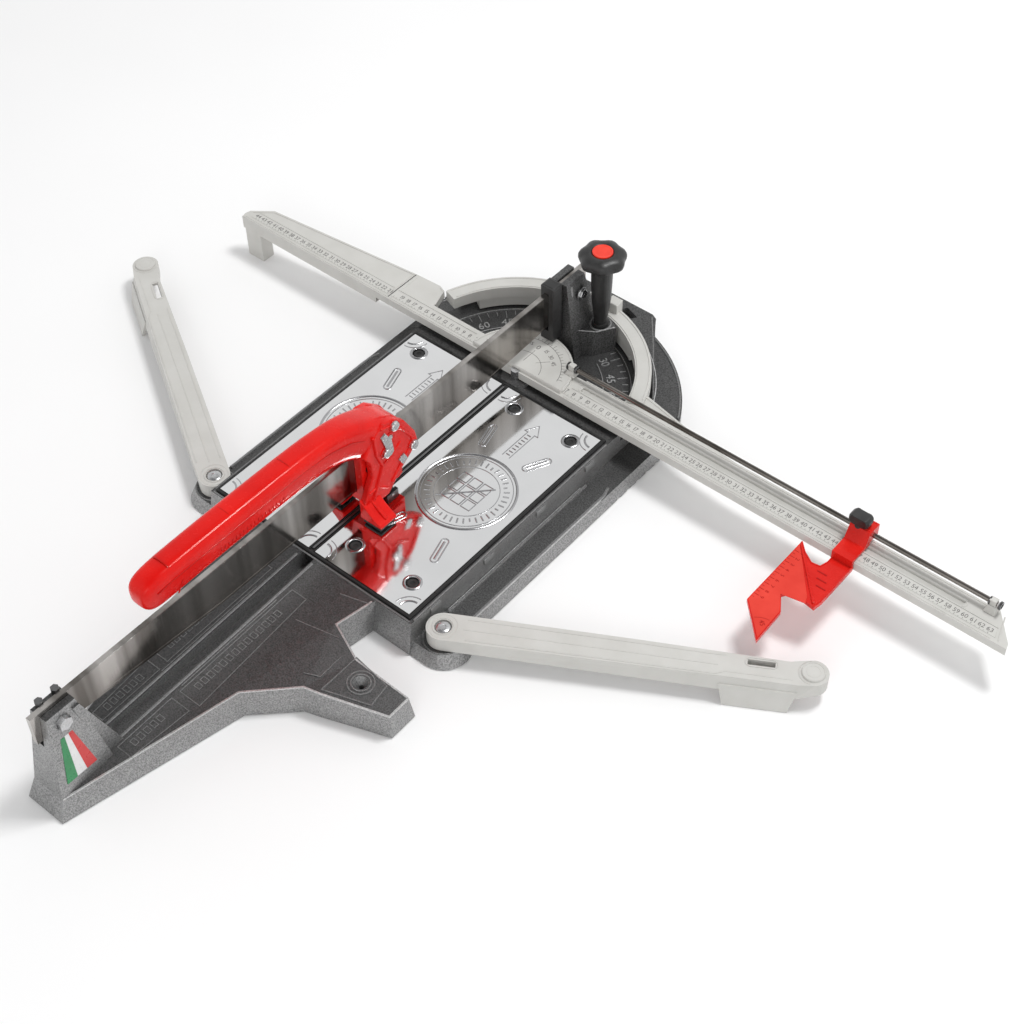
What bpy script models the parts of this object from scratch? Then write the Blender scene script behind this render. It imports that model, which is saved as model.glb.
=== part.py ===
"""Manual tile cutter: cast bed, guide rail, scoring carriage and swivelling fence.

Blender 4.5, metres, +Z up.  Lengths below are millimetres and are scaled by MM.
The origin is on the floor, under the pivot that the fence turns on.  +Y runs
along the rail away from the user, and +X is to the user's right.
"""

import bpy
import bmesh
from math import cos, sin, radians, pi, hypot, atan2
from mathutils import Matrix, Vector

MM = 0.001
GAP = 0.3                      # clearance between pieces that touch

# Levels above the floor
FLOOR_LEDGE = 17.5             # ledge that the folded arms lie over
TURNTABLE_FLOOR = 34.0
RIM_TOP = 46.0                 # rim round the plates and rear platform
PLATE_TOP = 50.0
FENCE_BOTTOM = 51.2
FENCE_TOP = 61.8
RAIL_TOP = 140.8
FOOT_HEIGHT = 1.2              # rubber feet stand this far below the casting

# Bed
PLATE_IN, PLATE_OUT = 5.0, 142.8
PLATE_FRONT, PLATE_BACK = -349.0, -20.0
PLATE_THICK = 3.0
FRAME_HALF = 151.5
FRAME_FRONT = -356.0
POST_HALF = 11.5               # front post at its top
LEDGE_HALF, SIDE_HALF = 184.0, 190.0
POCKET_FLOOR = 30.0
PIVOT_X, PIVOT_Y = 174.0, -331.0
NOSE_TIP = -739.0
DISC_RADIUS = 199.0

# Guide rail
RAIL_HALF = 3.0
RAIL_FRONT, RAIL_BACK = -724.0, 128.0

# Carriage and lever
CHEEK_IN, CHEEK_OUT = 13.3, 22.0
PIN_Y, PIN_Z = -238.0, 150.0
WHEEL_Y, WHEEL_Z, WHEEL_R = -226.0, 61.0, 8.2

# Fence
RING_IN, RING_OUT, RING_TOP = 141.2, 160.5, 67.0
PROTRACTOR_R = 68.5
FENCE_FRONT, FENCE_BACK = -2.0, 36.0
RIGHT_END, LEFT_JOINT, LEFT_END = 656.0, -205.0, -459.0
ROD_Y, ROD_Z, ROD_R = 35.0, 75.0, 3.5
ROD_POSTS = (59.0, 618.0)
STOP_X = 455.0
SCREW_X, SCREW_Y = 455.0, 32.0

# Lock knob
KNOB_X, KNOB_Y = 34.5, 118.3
KNOB_BOTTOM, KNOB_TOP, KNOB_R = 166.5, 183.5, 29.5

# Swing arms: length from pivot to end pad, and how far each is swung out from +X
ARM_LENGTH, ARM_R = 390.5, 18.5
ARM_BOTTOM, ARM_TOP = 18.3, 36.5
ARM_ANGLE = {"right": 30.2, "left": 180.0 - 31.0}

for old in list(bpy.data.objects):
    bpy.data.objects.remove(old, do_unlink=True)

PARTS = bpy.data.collections.new("tile_cutter")
CUTTERS = bpy.data.collections.new("cutters")
for collection in (PARTS, CUTTERS):
    bpy.context.scene.collection.children.link(collection)


# ---------------------------------------------------------------- materials

def material(name, colour, roughness, metallic):
    """One Principled material."""
    made = bpy.data.materials.new(name)
    made.use_nodes = True
    shader = made.node_tree.nodes["Principled BSDF"]
    shader.inputs["Base Color"].default_value = (*colour, 1.0)
    shader.inputs["Roughness"].default_value = roughness
    shader.inputs["Metallic"].default_value = metallic
    return made


HAMMERED = ("hammered_grey", (0.10, 0.10, 0.105), 0.45, 0.6)
LIGHT_PAINT = ("light_grey_paint", (0.62, 0.62, 0.59), 0.45, 0.0)
CHROME = ("chrome", (0.85, 0.85, 0.85), 0.08, 1.0)
ZINC = ("zinc", (0.65, 0.66, 0.68), 0.25, 1.0)
STEEL = ("steel", (0.35, 0.35, 0.36), 0.35, 1.0)
BRASS = ("brass", (0.70, 0.52, 0.22), 0.30, 1.0)
RED = ("red_enamel", (0.75, 0.015, 0.01), 0.20, 0.0)
RED_PLASTIC = ("red_plastic", (0.80, 0.04, 0.02), 0.30, 0.0)
BLACK_PLASTIC = ("black_plastic", (0.02, 0.02, 0.02), 0.40, 0.0)
RUBBER = ("rubber", (0.015, 0.015, 0.015), 0.70, 0.0)


# ------------------------------------------------------------- basic shapes

def place(obj, cutter):
    """Put an object in its collection; cutters stay out of the build."""
    for user in obj.users_collection:
        user.objects.unlink(obj)
    (CUTTERS if cutter else PARTS).objects.link(obj)
    if cutter:
        obj.hide_render = True
        obj.display_type = "WIRE"
    return obj


def finish(obj, look, smooth=False):
    """Give a piece its own material and its shading."""
    obj.data.materials.clear()
    obj.data.materials.append(material(obj.name + "_" + look[0], *look[1:]))
    if smooth:
        obj.data.shade_smooth()
        obj.data.set_sharp_from_angle(angle=radians(35))
    return obj


def mesh_object(name, build, cutter=False):
    """An object whose bmesh is filled by build, in millimetres."""
    mesh = bpy.data.meshes.new(name)
    work = bmesh.new()
    build(work)
    bmesh.ops.scale(work, vec=(MM, MM, MM), verts=work.verts)
    bmesh.ops.recalc_face_normals(work, faces=work.faces)
    work.to_mesh(mesh)
    work.free()
    return place(bpy.data.objects.new(name, mesh), cutter)


def box(name, x, y, z, cutter=False):
    """A box from low to high on each axis."""
    def build(work):
        bmesh.ops.create_cube(work, size=1.0)
        size = Vector((x[1] - x[0], y[1] - y[0], z[1] - z[0]))
        middle = Vector((x[0] + x[1], y[0] + y[1], z[0] + z[1])) / 2
        for vertex in work.verts:
            vertex.co = Vector([c * s for c, s in zip(vertex.co, size)]) + middle
    return mesh_object(name, build, cutter)


def taper_box(name, low, z_low, high, z_high, cutter=False):
    """A block between two level rectangles, each (x0, x1, y0, y1)."""
    def build(work):
        bmesh.ops.create_cube(work, size=1.0)
        for vertex in work.verts:
            x0, x1, y0, y1 = high if vertex.co.z > 0 else low
            top = z_high if vertex.co.z > 0 else z_low
            vertex.co = (x1 if vertex.co.x > 0 else x0, y1 if vertex.co.y > 0 else y0, top)
    return mesh_object(name, build, cutter)


def drafted(name, low, z_low, high, z_high, cutter=False):
    """A block whose sides slope between two level outlines with the same number of points."""
    def build(work):
        rings = []
        for outline, z in ((low, z_low), (high, z_high)):
            rings.append([work.verts.new((x, y, z)) for x, y in outline])
        work.faces.new(list(reversed(rings[0])))
        work.faces.new(rings[1])
        for i in range(len(low)):
            j = (i + 1) % len(low)
            work.faces.new((rings[0][i], rings[0][j], rings[1][j], rings[1][i]))
    return mesh_object(name, build, cutter)


def rod(name, start, end, radius, radius_end=None, sides=24, cutter=False):
    """A cylinder or cone between two points."""
    start, end = Vector(start), Vector(end)
    turn = (end - start).to_track_quat("Z", "Y").to_matrix().to_4x4()

    def build(work):
        bmesh.ops.create_cone(work, cap_ends=True, segments=sides, radius1=radius,
                              radius2=radius if radius_end is None else radius_end,
                              depth=(end - start).length,
                              matrix=Matrix.Translation((start + end) / 2) @ turn)
    return mesh_object(name, build, cutter)


PLANES = {"xy": Matrix.Identity(3),
          "yz": Matrix(((0, 0, 1), (1, 0, 0), (0, 1, 0))),
          "xz": Matrix(((1, 0, 0), (0, 0, -1), (0, 1, 0)))}


def slab(name, points, low, high, plane="xy", cutter=False):
    """A flat outline, filled on both sides and extruded from low to high, as a mesh."""
    curve = bpy.data.curves.new(name, "CURVE")
    curve.dimensions = "2D"
    curve.fill_mode = "BOTH"
    curve.extrude = (high - low) / 2 * MM
    spline = curve.splines.new("POLY")
    spline.points.add(len(points) - 1)
    spline.use_cyclic_u = True
    for target, (u, v) in zip(spline.points, points):
        target.co = (u * MM, v * MM, 0, 1)
    source = bpy.data.objects.new(name + "_outline", curve)
    bpy.context.scene.collection.objects.link(source)
    graph = bpy.context.evaluated_depsgraph_get()
    mesh = bpy.data.meshes.new_from_object(source.evaluated_get(graph))
    bpy.data.objects.remove(source, do_unlink=True)
    work = bmesh.new()
    work.from_mesh(mesh)
    bmesh.ops.remove_doubles(work, verts=work.verts, dist=0.00001)
    across = Vector((0, 0, (low + high) / 2 * MM))
    if plane == "xz":
        across = -across
    for vertex in work.verts:
        vertex.co = PLANES[plane] @ (vertex.co + across)
    bmesh.ops.recalc_face_normals(work, faces=work.faces)
    work.to_mesh(mesh)
    work.free()
    mesh.name = name
    return place(bpy.data.objects.new(name, mesh), cutter)


def arc(cx, cy, radius, start, end, steps):
    """Points on an arc, degrees, both ends included."""
    return [(cx + radius * cos(radians(start + (end - start) * i / steps)),
             cy + radius * sin(radians(start + (end - start) * i / steps)))
            for i in range(steps + 1)]


def combine(obj, other, operation):
    """Boolean with an exact solver; other is kept as a hidden cutter."""
    place(other, True)
    change = obj.modifiers.new(operation.lower() + "_" + other.name, "BOOLEAN")
    change.operation = operation
    change.solver = "EXACT"
    change.object = other
    return obj


def cut(obj, other):
    return combine(obj, other, "DIFFERENCE")


def join(obj, other):
    return combine(obj, other, "UNION")


def turned(name, profile, centre, sides=32):
    """A body turned about a vertical axis; the closed profile (radius, z) runs top to bottom."""
    mesh = bpy.data.meshes.new(name)
    mesh.from_pydata([(r * MM, 0, z * MM) for r, z in profile],
                     [(i, (i + 1) % len(profile)) for i in range(len(profile))], [])
    obj = place(bpy.data.objects.new(name, mesh), False)
    obj.location = (centre[0] * MM, centre[1] * MM, 0)
    screw = obj.modifiers.new("turn", "SCREW")
    screw.steps = screw.render_steps = sides
    screw.use_merge_vertices = True
    screw.merge_threshold = 0.00001
    return obj


def bevel(obj, width, segments=1, angle=40):
    """Rounded edges."""
    change = obj.modifiers.new("rounded_edges", "BEVEL")
    change.width = width * MM
    change.segments = segments
    change.limit_method = "ANGLE"
    change.angle_limit = radians(angle)
    change.miter_outer = "MITER_ARC"
    return obj


def mirrored(points):
    """An outline given for +X, closed over the centre line."""
    return points + [(-x, y) for x, y in reversed(points)]


# --------------------------------------------------------------------- bed

def nose_height(y):
    """The nose's top rises gently from its tip to the plates."""
    return 27.0 + (y + 727.0) * 0.0497


def nose(name):
    """Drafted nose with its right foot: (x, y) on the floor, then the top's shift and height."""
    rim = [(-26, NOSE_TIP, 4, 11, 27), (26, NOSE_TIP, -5, 11, 27), (72, -530.6, -4, 2, None),
           (117, -487.6, -1, 6, 37), (135, -482, -1, 5, 37), (210.6, -454.6, -3, 3, 33),
           (210.3, -418.4, -3, -4, 33), (136, -419, -2, -3, 38), (94.4, -399.3, -7, -4, None),
           (102, -350, 0, 0, None), (-102, -350, 0, 0, None), (-72, -530.6, 4, 2, None)]

    def build(work):
        low, high = [], []
        for x, y, dx, dy, z in rim:
            low.append(work.verts.new((x, y, 0.4)))
            top = nose_height(y + dy) if z is None else z
            high.append(work.verts.new((x + dx, y + dy, top)))
        work.faces.new(list(reversed(low)))
        for i in range(len(rim)):
            j = (i + 1) % len(rim)
            work.faces.new((low[i], low[j], high[j], high[i]))
        work.faces.new((high[2], high[3], high[8]))
        work.faces.new((high[2], high[8], high[10], high[11]))
        work.faces.new((high[8], high[9], high[10]))
        work.faces.new((high[0], high[1], high[2], high[11]))
        work.faces.new((high[3], high[4], high[7], high[8]))
        work.faces.new((high[4], high[5], high[6], high[7]))
        bmesh.ops.triangulate(work, faces=[f for f in work.faces if len(f.verts) > 3])
    return mesh_object(name, build)


def level_underside(obj):
    """The pieces of the casting run lower than its underside, and one cut levels them."""
    cut(obj, box("underside_level", (-400, 400), (-900, 400), (-80, FOOT_HEIGHT), cutter=True))


def front_post(base):
    """Clevis cast on the nose's tip, which holds the rail's front end."""
    join(base, taper_box("front_post", (-21.5, 21.5, -728.3, -660), 26,
                         (-POST_HALF, POST_HALF, -713, -677), 135))
    rib = [(-662, 28), (-640, 28), (-676, 128), (-684, 128)]
    for side in (-1, 1):
        join(base, slab("post_rib_%d" % side, rib, *sorted((side * 11.5, side * 15)), plane="yz"))
    cut(base, box("front_rail_slot", (-RAIL_HALF - GAP, RAIL_HALF + GAP), (-760, -640), (93, 200),
                  cutter=True))
    cut(base, rod("front_bolt_hole", (-40, -697, 121), (40, -697, 121), 4.1, sides=20, cutter=True))
    cut(base, rod("front_bolt_seat", (12.4, -697, 121), (40, -697, 121), 9.5, sides=24, cutter=True))
    cut(base, box("front_bolt_mouth", (12.4, 40), (-706.5, -687.5), (121, 160), cutter=True))


def base_casting():
    """Die-cast bed: nose, frame with side ledges, pivot bosses, turntable floor and tail."""
    base = nose("base_casting")
    frame = taper_box("frame_block", (-FRAME_HALF - 1, FRAME_HALF + 1, FRAME_FRONT - 8, 30), -4,
                      (-FRAME_HALF, FRAME_HALF, FRAME_FRONT, 30), RIM_TOP)
    join(base, frame)
    join(base, taper_box("ledge_block", (-SIDE_HALF, SIDE_HALF, -340, 60), -5,
                         (-LEDGE_HALF, LEDGE_HALF, -340, 60), FLOOR_LEDGE))
    for side in (-1, 1):
        join(base, rod("boss_%d" % side, (side * PIVOT_X, PIVOT_Y, -6 + side * 0.5),
                       (side * PIVOT_X, PIVOT_Y, FLOOR_LEDGE + 0.3), 35, 24, sides=28))
        low = sorted((side * 96, side * PIVOT_X))
        join(base, taper_box("corner_fill_%d" % side, (*low, -366, -331), -7 + side * 0.5,
                             (*low, -355.5, -331), FLOOR_LEDGE + 0.1))
    step = arc(0, 0, DISC_RADIUS, 14, 166, 56)
    join(base, slab("round_step", step, -8, 20))
    tail = mirrored([(58, 194), (66, 190), (71, 182), (91, 154), (149, 77), (149, 21)])
    join(base, slab("rear_platform", tail, 10, RIM_TOP))
    level_underside(base)
    # Turntable floor, open towards the fence, with the pivot boss left standing
    floor_edge = arc(0, 0, 163.5, 8, 172, 40)
    cut(base, slab("turntable_pocket", floor_edge + [(-150, 4), (150, 4)], TURNTABLE_FLOOR, 80, cutter=True))
    join(base, rod("pivot_boss", (0, 0, 20), (0, 0, 50.4), 20, 18, sides=32))
    # Pocket for the two sprung plates
    cut(base, box("plate_pocket", (-147, 147), (-352.5, -14), (POCKET_FLOOR, 80), cutter=True))
    # Channel along the nose for waste, under the rail
    cut(base, taper_box("nose_channel", (-8, 8, -655, -340), 26, (-9, 9, -660, -340), 60, cutter=True))
    front_post(base)
    # Countersunk bolt hole in the foot
    cut(base, rod("foot_hole", (157, -440.5, -5), (157, -440.5, 60), 2.8, sides=32, cutter=True))
    cut(base, rod("foot_countersink", (157, -440.5, 29), (157, -440.5, 37), 2.8, 9.0, sides=32, cutter=True))
    # Slot through the tail and scallops along the rear side edges
    cut(base, slab("tail_slot", [(22, 176), (42, 171), (46, 178), (26, 185)], 0, 60, cutter=True))
    # The folded arms lie over the ledges, with their tabs outside them
    for side in (-1, 1):
        span = sorted((side * 152.6, side * 230))
        cut(base, box("arm_room_%d" % side, span, (-300, 79), (FLOOR_LEDGE + 0.1, 60), cutter=True))
        span = sorted((side * 192, side * 230))
        cut(base, box("tab_room_%d" % side, span, (-60, 48), (-20, 60), cutter=True))
        for number, y in enumerate((-42, -24, -6, 12, 30)):
            spot = (side * 193.5, y)
            cut(base, rod("scallop_%d_%d" % (side, number), (*spot, -20), (*spot, 60), 6.2, sides=14,
                          cutter=True))
    for word, (x, y) in FEET.items():
        cut(base, rod("foot_recess_" + word, (x, y, -9), (x, y, 5 + GAP), 9 + GAP, sides=20, cutter=True))
    # Ribbed underside: pockets that lighten the casting
    for row in range(3):
        for column in range(4):
            x0 = -142 + column * 72
            y0 = -345 + row * 108
            cut(base, box("under_%d_%d" % (row, column), (x0, x0 + 67), (y0, y0 + 102), (-5, 25),
                          cutter=True))
    for column, (x0, x1) in enumerate(((-126, -70), (-64, -9), (9, 64), (70, 126))):
        cut(base, box("under_rear_%d" % column, (x0, x1), (-14, 84), (-5, 14), cutter=True))
    for column, (y0, y1, half) in enumerate(((-455, -372, 78), (-545, -461, 56), (-640, -551, 34))):
        for side in (-1, 1):
            edges = sorted((side * 3, side * half))
            cut(base, box("under_nose_%d_%d" % (column, side), edges, (y0, y1), (-5, 21), cutter=True))
    return finish(base, HAMMERED)


def hex_bolt(name, start, end, shank, head, head_length, look=ZINC):
    """A hexagon bolt along a line; the head is at its end."""
    start, end = Vector(start), Vector(end)
    along = (end - start).normalized()
    bolt = rod(name, start, end, shank, sides=16)
    join(bolt, rod(name + "_head", end - along * 0.5, end + along * head_length, head, sides=6))
    return finish(bolt, look)


def guide_rail():
    """Tall flat bar, shallower at both ends."""
    side = [(RAIL_FRONT, RAIL_TOP), (RAIL_FRONT, 102), (-690, 100), (-480, 85), (-60, 85), (60, 92),
            (RAIL_BACK, 96), (RAIL_BACK, RAIL_TOP)]
    rail = slab("guide_rail", side, -RAIL_HALF, RAIL_HALF, plane="yz")
    for y, z in ((-697, 121), (102, 121)):
        cut(rail, rod("rail_hole_%d" % y, (-9, y, z), (9, y, z), 4.1, sides=20, cutter=True))
    return finish(rail, CHROME)


def rear_tower():
    """Casting that holds the rail's rear end, with a shoulder for the lock's bush."""
    foot = TURNTABLE_FLOOR + GAP
    tower = taper_box("rear_tower", (-24, 27, 78, 136), foot, (-12, 12, 80, 113), 143)
    shoulder = slab("tower_shoulder", [(18, 86), (38, 99), (54, 124), (44, 131), (10, 137)], foot, 71)
    join(tower, shoulder)
    cut(tower, box("rear_rail_slot", (-RAIL_HALF - GAP, RAIL_HALF + GAP), (60, 160), (90, 200), cutter=True))
    cut(tower, rod("rear_bolt_hole", (-40, 102, 121), (40, 102, 121), 4.1, sides=20, cutter=True))
    slot = [(97, 114), (107, 114), (107, 134), (97, 134)]
    cut(tower, slab("rear_bolt_slot", slot, 13.6, 40, plane="yz", cutter=True))
    cut(tower, rod("bush_hole", (KNOB_X, KNOB_Y, 40), (KNOB_X, KNOB_Y, 90), 8.3, sides=24, cutter=True))
    return finish(tower, HAMMERED)


def rail_collar():
    """Black stop collar round the rail, in front of the tower."""
    collar = box("rail_collar", (-8, 10), (57, 73.5), (70, 151))
    cut(collar, box("collar_slot", (-RAIL_HALF - GAP, RAIL_HALF + GAP), (40, 90), (84, 141.3), cutter=True))
    return finish(collar, BLACK_PLASTIC)


def plates():
    """Two sprung plates with a hole at each corner, their plugs, springs and seals."""
    holes = [(x, y) for x in (32.9, 116.7) for y in (-314.6, -42.6)]
    for side, word in ((1, "right"), (-1, "left")):
        span = sorted((side * PLATE_IN, side * PLATE_OUT))
        plate = box("plate_" + word, span, (PLATE_FRONT, PLATE_BACK), (PLATE_TOP - PLATE_THICK, PLATE_TOP))
        for number, (x, y) in enumerate(holes):
            cut(plate, rod("%s_hole_%d" % (word, number), (side * x, y, 40), (side * x, y, 60), 7.5,
                           sides=24, cutter=True))
            plug = rod("plate_plug_%s_%d" % (word, number + 1), (side * x, y, POCKET_FLOOR + GAP),
                       (side * x, y, PLATE_TOP - 1.8), 6.6, sides=20)
            finish(plug, RUBBER, smooth=True)
        finish(plate, CHROME)
        for row, y in (("front", -270.0), ("rear", -90.0)):
            spring("plate_spring_%s_%s" % (word, row), side * 74.0, y)


def spring(name, x, y):
    """A coil between the pocket's floor and a plate."""
    turns, per_turn, radius, wire = 3.0, 10, 8.0, 1.0
    low = POCKET_FLOOR + GAP + wire
    high = PLATE_TOP - PLATE_THICK - GAP - wire
    curve = bpy.data.curves.new(name, "CURVE")
    curve.dimensions = "3D"
    curve.bevel_depth = wire * MM
    curve.bevel_resolution = 2
    curve.use_fill_caps = True
    count = int(turns * per_turn)
    line = curve.splines.new("POLY")
    line.points.add(count)
    for i in range(count + 1):
        turn = 2 * pi * i / per_turn
        line.points[i].co = (radius * cos(turn) * MM, radius * sin(turn) * MM,
                             (low + (high - low) * i / count) * MM, 1)
    coil = place(bpy.data.objects.new(name, curve), False)
    coil.location = (x * MM, y * MM, 0)
    coil.data.materials.append(material(name + "_steel", *STEEL[1:]))
    return coil


def seals():
    """Rubber seal round the plates and between them, with the breaker strip in its middle."""
    seal = box("gasket_frame", (-147 + GAP, 147 - GAP), (-352.5 + GAP, -14 - GAP), (POCKET_FLOOR + GAP, 48.6))
    for side in (-1, 1):
        span = sorted((side * (PLATE_IN - GAP), side * (PLATE_OUT + GAP)))
        cut(seal, box("gasket_window_%d" % side, span, (PLATE_FRONT - GAP, PLATE_BACK + GAP), (20, 70),
                      cutter=True))
    cut(seal, box("strip_slot", (-1.6, 1.6), (PLATE_FRONT + 2, PLATE_BACK - 2), (34, 70), cutter=True))
    finish(seal, RUBBER)
    strip = box("breaker_strip", (-1.3, 1.3), (PLATE_FRONT + 2.3, PLATE_BACK - 2.3), (34.3, 50.6))
    finish(strip, STEEL)


FEET = {"nose": (0, -700), "foot": (190, -436), "front_left": (-166, -300), "rear_left": (-150, 100),
        "rear_right": (150, 100)}


def feet():
    """Rubber feet, let into the underside."""
    for word, (x, y) in FEET.items():
        foot = rod("rubber_foot_" + word, (x, y, 0), (x, y, 5), 9, sides=20)
        finish(foot, RUBBER, smooth=True)


# ---------------------------------------------------------------- carriage

def handle_lever():
    """Red lever: grip, head that straddles the carriage, and a wing each side."""
    grip = [(-578, 174), (-578, 188), (-572, 197), (-557, 203), (-470, 206), (-350, 206), (-312, 203),
            (-280, 196), (-256, 187), (-256, 128), (-270, 132), (-288, 148), (-312, 159),
            (-345, 164), (-470, 164), (-540, 162), (-560, 160), (-573, 165)]
    head = [(-276, 194), (-252, 186), (-232, 175), (-212, 155), (-195, 128), (-192, 112), (-224, 86),
            (-246, 64), (-284, 64), (-284, 82), (-268, 112), (-270, 132), (-279, 142)]
    lever = slab("handle_lever", grip, -17.0, 17.0, plane="yz")
    bevel(lever, 8.0, segments=2, angle=60)
    head_piece = slab("lever_cheeks", head, -CHEEK_OUT, CHEEK_OUT, plane="yz")
    join(lever, head_piece)
    for side in (-1, 1):
        wing = [(side * 15, 80), (side * 30, 68), (side * 45, 60), (side * 45, 56), (side * 15, 56)]
        join(lever, slab("wing_%d" % side, wing, -286, -258, plane="xz"))
    room = [(-330, 40), (-180, 40), (-180, 118), (-203, 150), (-222, 166), (-238, 170), (-262, 160),
            (-330, 150)]
    cut(lever, slab("carriage_room", room, -CHEEK_IN, CHEEK_IN, plane="yz", cutter=True))
    cut(lever, rod("lever_pin_hole", (-40, PIN_Y, PIN_Z), (40, PIN_Y, PIN_Z), 4.05, sides=24, cutter=True))
    return finish(lever, RED, smooth=True)


def carriage():
    """Sliding block on the rail with its bearings, pin, wheel and pads."""
    side = [(-276, 71), (-214, 71), (-214, 120), (-226, 142), (-229, 150)]
    side += arc(PIN_Y, PIN_Z, 9.0, 0, 180, 10)
    side += [(-252, 146), (-276, 146)]
    body = slab("carriage_body", side, -CHEEK_IN + GAP, CHEEK_IN - GAP, plane="yz")
    cut(body, box("rail_tunnel", (-RAIL_HALF - GAP, RAIL_HALF + GAP), (-300, -190), (82, RAIL_TOP + GAP),
                  cutter=True))
    cut(body, rod("carriage_pin_hole", (-40, PIN_Y, PIN_Z), (40, PIN_Y, PIN_Z), 4.05, sides=24, cutter=True))
    bearing_spots = {"front": (-262, 118), "rear": (-232, 106)}
    for word, (y, z) in bearing_spots.items():
        cut(body, rod("bearing_seat_" + word, (3, y, z), (20, y, z), 7.3, sides=24, cutter=True))
        bearing = rod("carriage_bearing_" + word, (RAIL_HALF + GAP, y, z), (12.5, y, z), 7.0, sides=24)
        cut(bearing, rod("bearing_bore_" + word, (0, y, z), (30, y, z), 2.6, sides=16, cutter=True))
        finish(bearing, STEEL, smooth=True)
    finish(body, RED)

    finish(rod("lever_pin", (-CHEEK_OUT - 1, PIN_Y, PIN_Z), (CHEEK_OUT + 1, PIN_Y, PIN_Z), 4.0, sides=24),
           ZINC, smooth=True)
    for number, (y, z) in enumerate(((-231, 164), (-246, 134), (-204, 114))):
        hex_bolt("lever_screw_%d" % (number + 1), (CHEEK_OUT + GAP, y, z), (CHEEK_OUT + 2.2, y, z),
                 5.5, 4.2, 3.0)

    holder = box("wheel_holder", (-7, 7), (WHEEL_Y - 9, WHEEL_Y + 9), (WHEEL_Z - 3.5, 70.7))
    cut(holder, box("wheel_slot", (-2.2, 2.2), (WHEEL_Y - 20, WHEEL_Y + 20), (40, 70.7 - 1.2), cutter=True))
    cut(holder, rod("axle_hole", (-20, WHEEL_Y, WHEEL_Z), (20, WHEEL_Y, WHEEL_Z), 2.05, sides=20,
                    cutter=True))
    finish(holder, STEEL)
    axle = rod("wheel_axle", (-7.5, WHEEL_Y, WHEEL_Z), (7.5, WHEEL_Y, WHEEL_Z), 2.0, sides=20)
    finish(axle, ZINC, smooth=True)
    scoring_wheel()
    for word, sign in (("left", -1), ("right", 1)):
        span = sorted((sign * 18, sign * 43))
        finish(box("breaker_pad_" + word, span, (-284, -260), (52.5, 56 - GAP)), RUBBER)


def scoring_wheel():
    """Hard-metal wheel with a sharp rim, turned about X."""
    wheel = turned("scoring_wheel", [(2.05, 1.0), (WHEEL_R - 1.4, 1.0), (WHEEL_R, 0), (WHEEL_R - 1.4, -1.0),
                                     (2.05, -1.0)], (0, WHEEL_Y), sides=32)
    wheel.location.z = WHEEL_Z * MM
    wheel.rotation_euler = (0, radians(90), 0)
    return finish(wheel, STEEL)


# ------------------------------------------------------------------- fence

def fence_bar():
    """Light grey fence: two arms, protractor disc and half ring."""
    outline = [(LEFT_JOINT + GAP, FENCE_FRONT), (RIGHT_END, FENCE_FRONT), (RIGHT_END - 2, 5),
               (RIGHT_END - 30, FENCE_BACK + 3), (290, FENCE_BACK + 3), (237, 44), (150, 62), (136, 58),
               (132, FENCE_BACK), (70, FENCE_BACK), (0, 30), (-64, 24), (-150, 24), (-158, 52), (-168, 56),
               (LEFT_JOINT + GAP, 54)]
    bar = slab("fence_bar", outline, FENCE_BOTTOM, FENCE_TOP)
    disc = arc(0, 0, PROTRACTOR_R, 4, 176, 32)
    join(bar, slab("protractor", disc + [(-66, 1), (66, 1)], FENCE_BOTTOM + 0.2, 66))
    ring = arc(0, 0, RING_OUT, 16, 162, 44) + arc(0, 0, RING_IN, 162, 16, 44)
    join(bar, slab("ring", ring, FENCE_BOTTOM + 0.4, RING_TOP))
    skirt = arc(0, 0, RING_OUT - 2, 56, 148, 28) + arc(0, 0, RING_IN + 1.5, 148, 56, 28)
    join(bar, slab("ring_skirt", skirt, TURNTABLE_FLOOR + 3, RING_TOP - 4))
    join(bar, slab("ring_lug", [(20, 147), (37, 147), (36, 160), (21, 160)], 60, 80))
    cut(bar, box("arm_groove", (82, 592), (19, 27), (FENCE_TOP - 3, 80), cutter=True))
    cut(bar, rod("pivot_hole", (0, 0, 40), (0, 0, 63), 6.05, sides=28, cutter=True))
    return finish(bar, LIGHT_PAINT)


def fence_extension():
    """Left extension that ends in a foot on the floor."""
    outline = [(LEFT_JOINT, FENCE_FRONT), (LEFT_JOINT, 54), (-432, 31), (LEFT_END + 2, 12), (LEFT_END, 4),
               (LEFT_END + 2, FENCE_FRONT)]
    arm = slab("fence_extension", outline, FENCE_BOTTOM, FENCE_TOP)
    join(arm, slab("extension_flank", [(LEFT_JOINT - 20, FENCE_FRONT + 0.2), (LEFT_JOINT - 20, 4),
                                       (LEFT_END + 0.2, 4), (LEFT_END + 0.2, FENCE_FRONT + 0.2)],
                   43, FENCE_TOP - 1))
    foot = [(LEFT_END + 3, FENCE_FRONT + 0.6), (LEFT_END + 3, 8), (LEFT_END + 12, 15), (LEFT_END + 30, 17),
            (LEFT_END + 30, FENCE_FRONT + 0.6)]
    join(arm, slab("extension_foot", foot, 0, 57))
    return finish(arm, LIGHT_PAINT)


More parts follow.
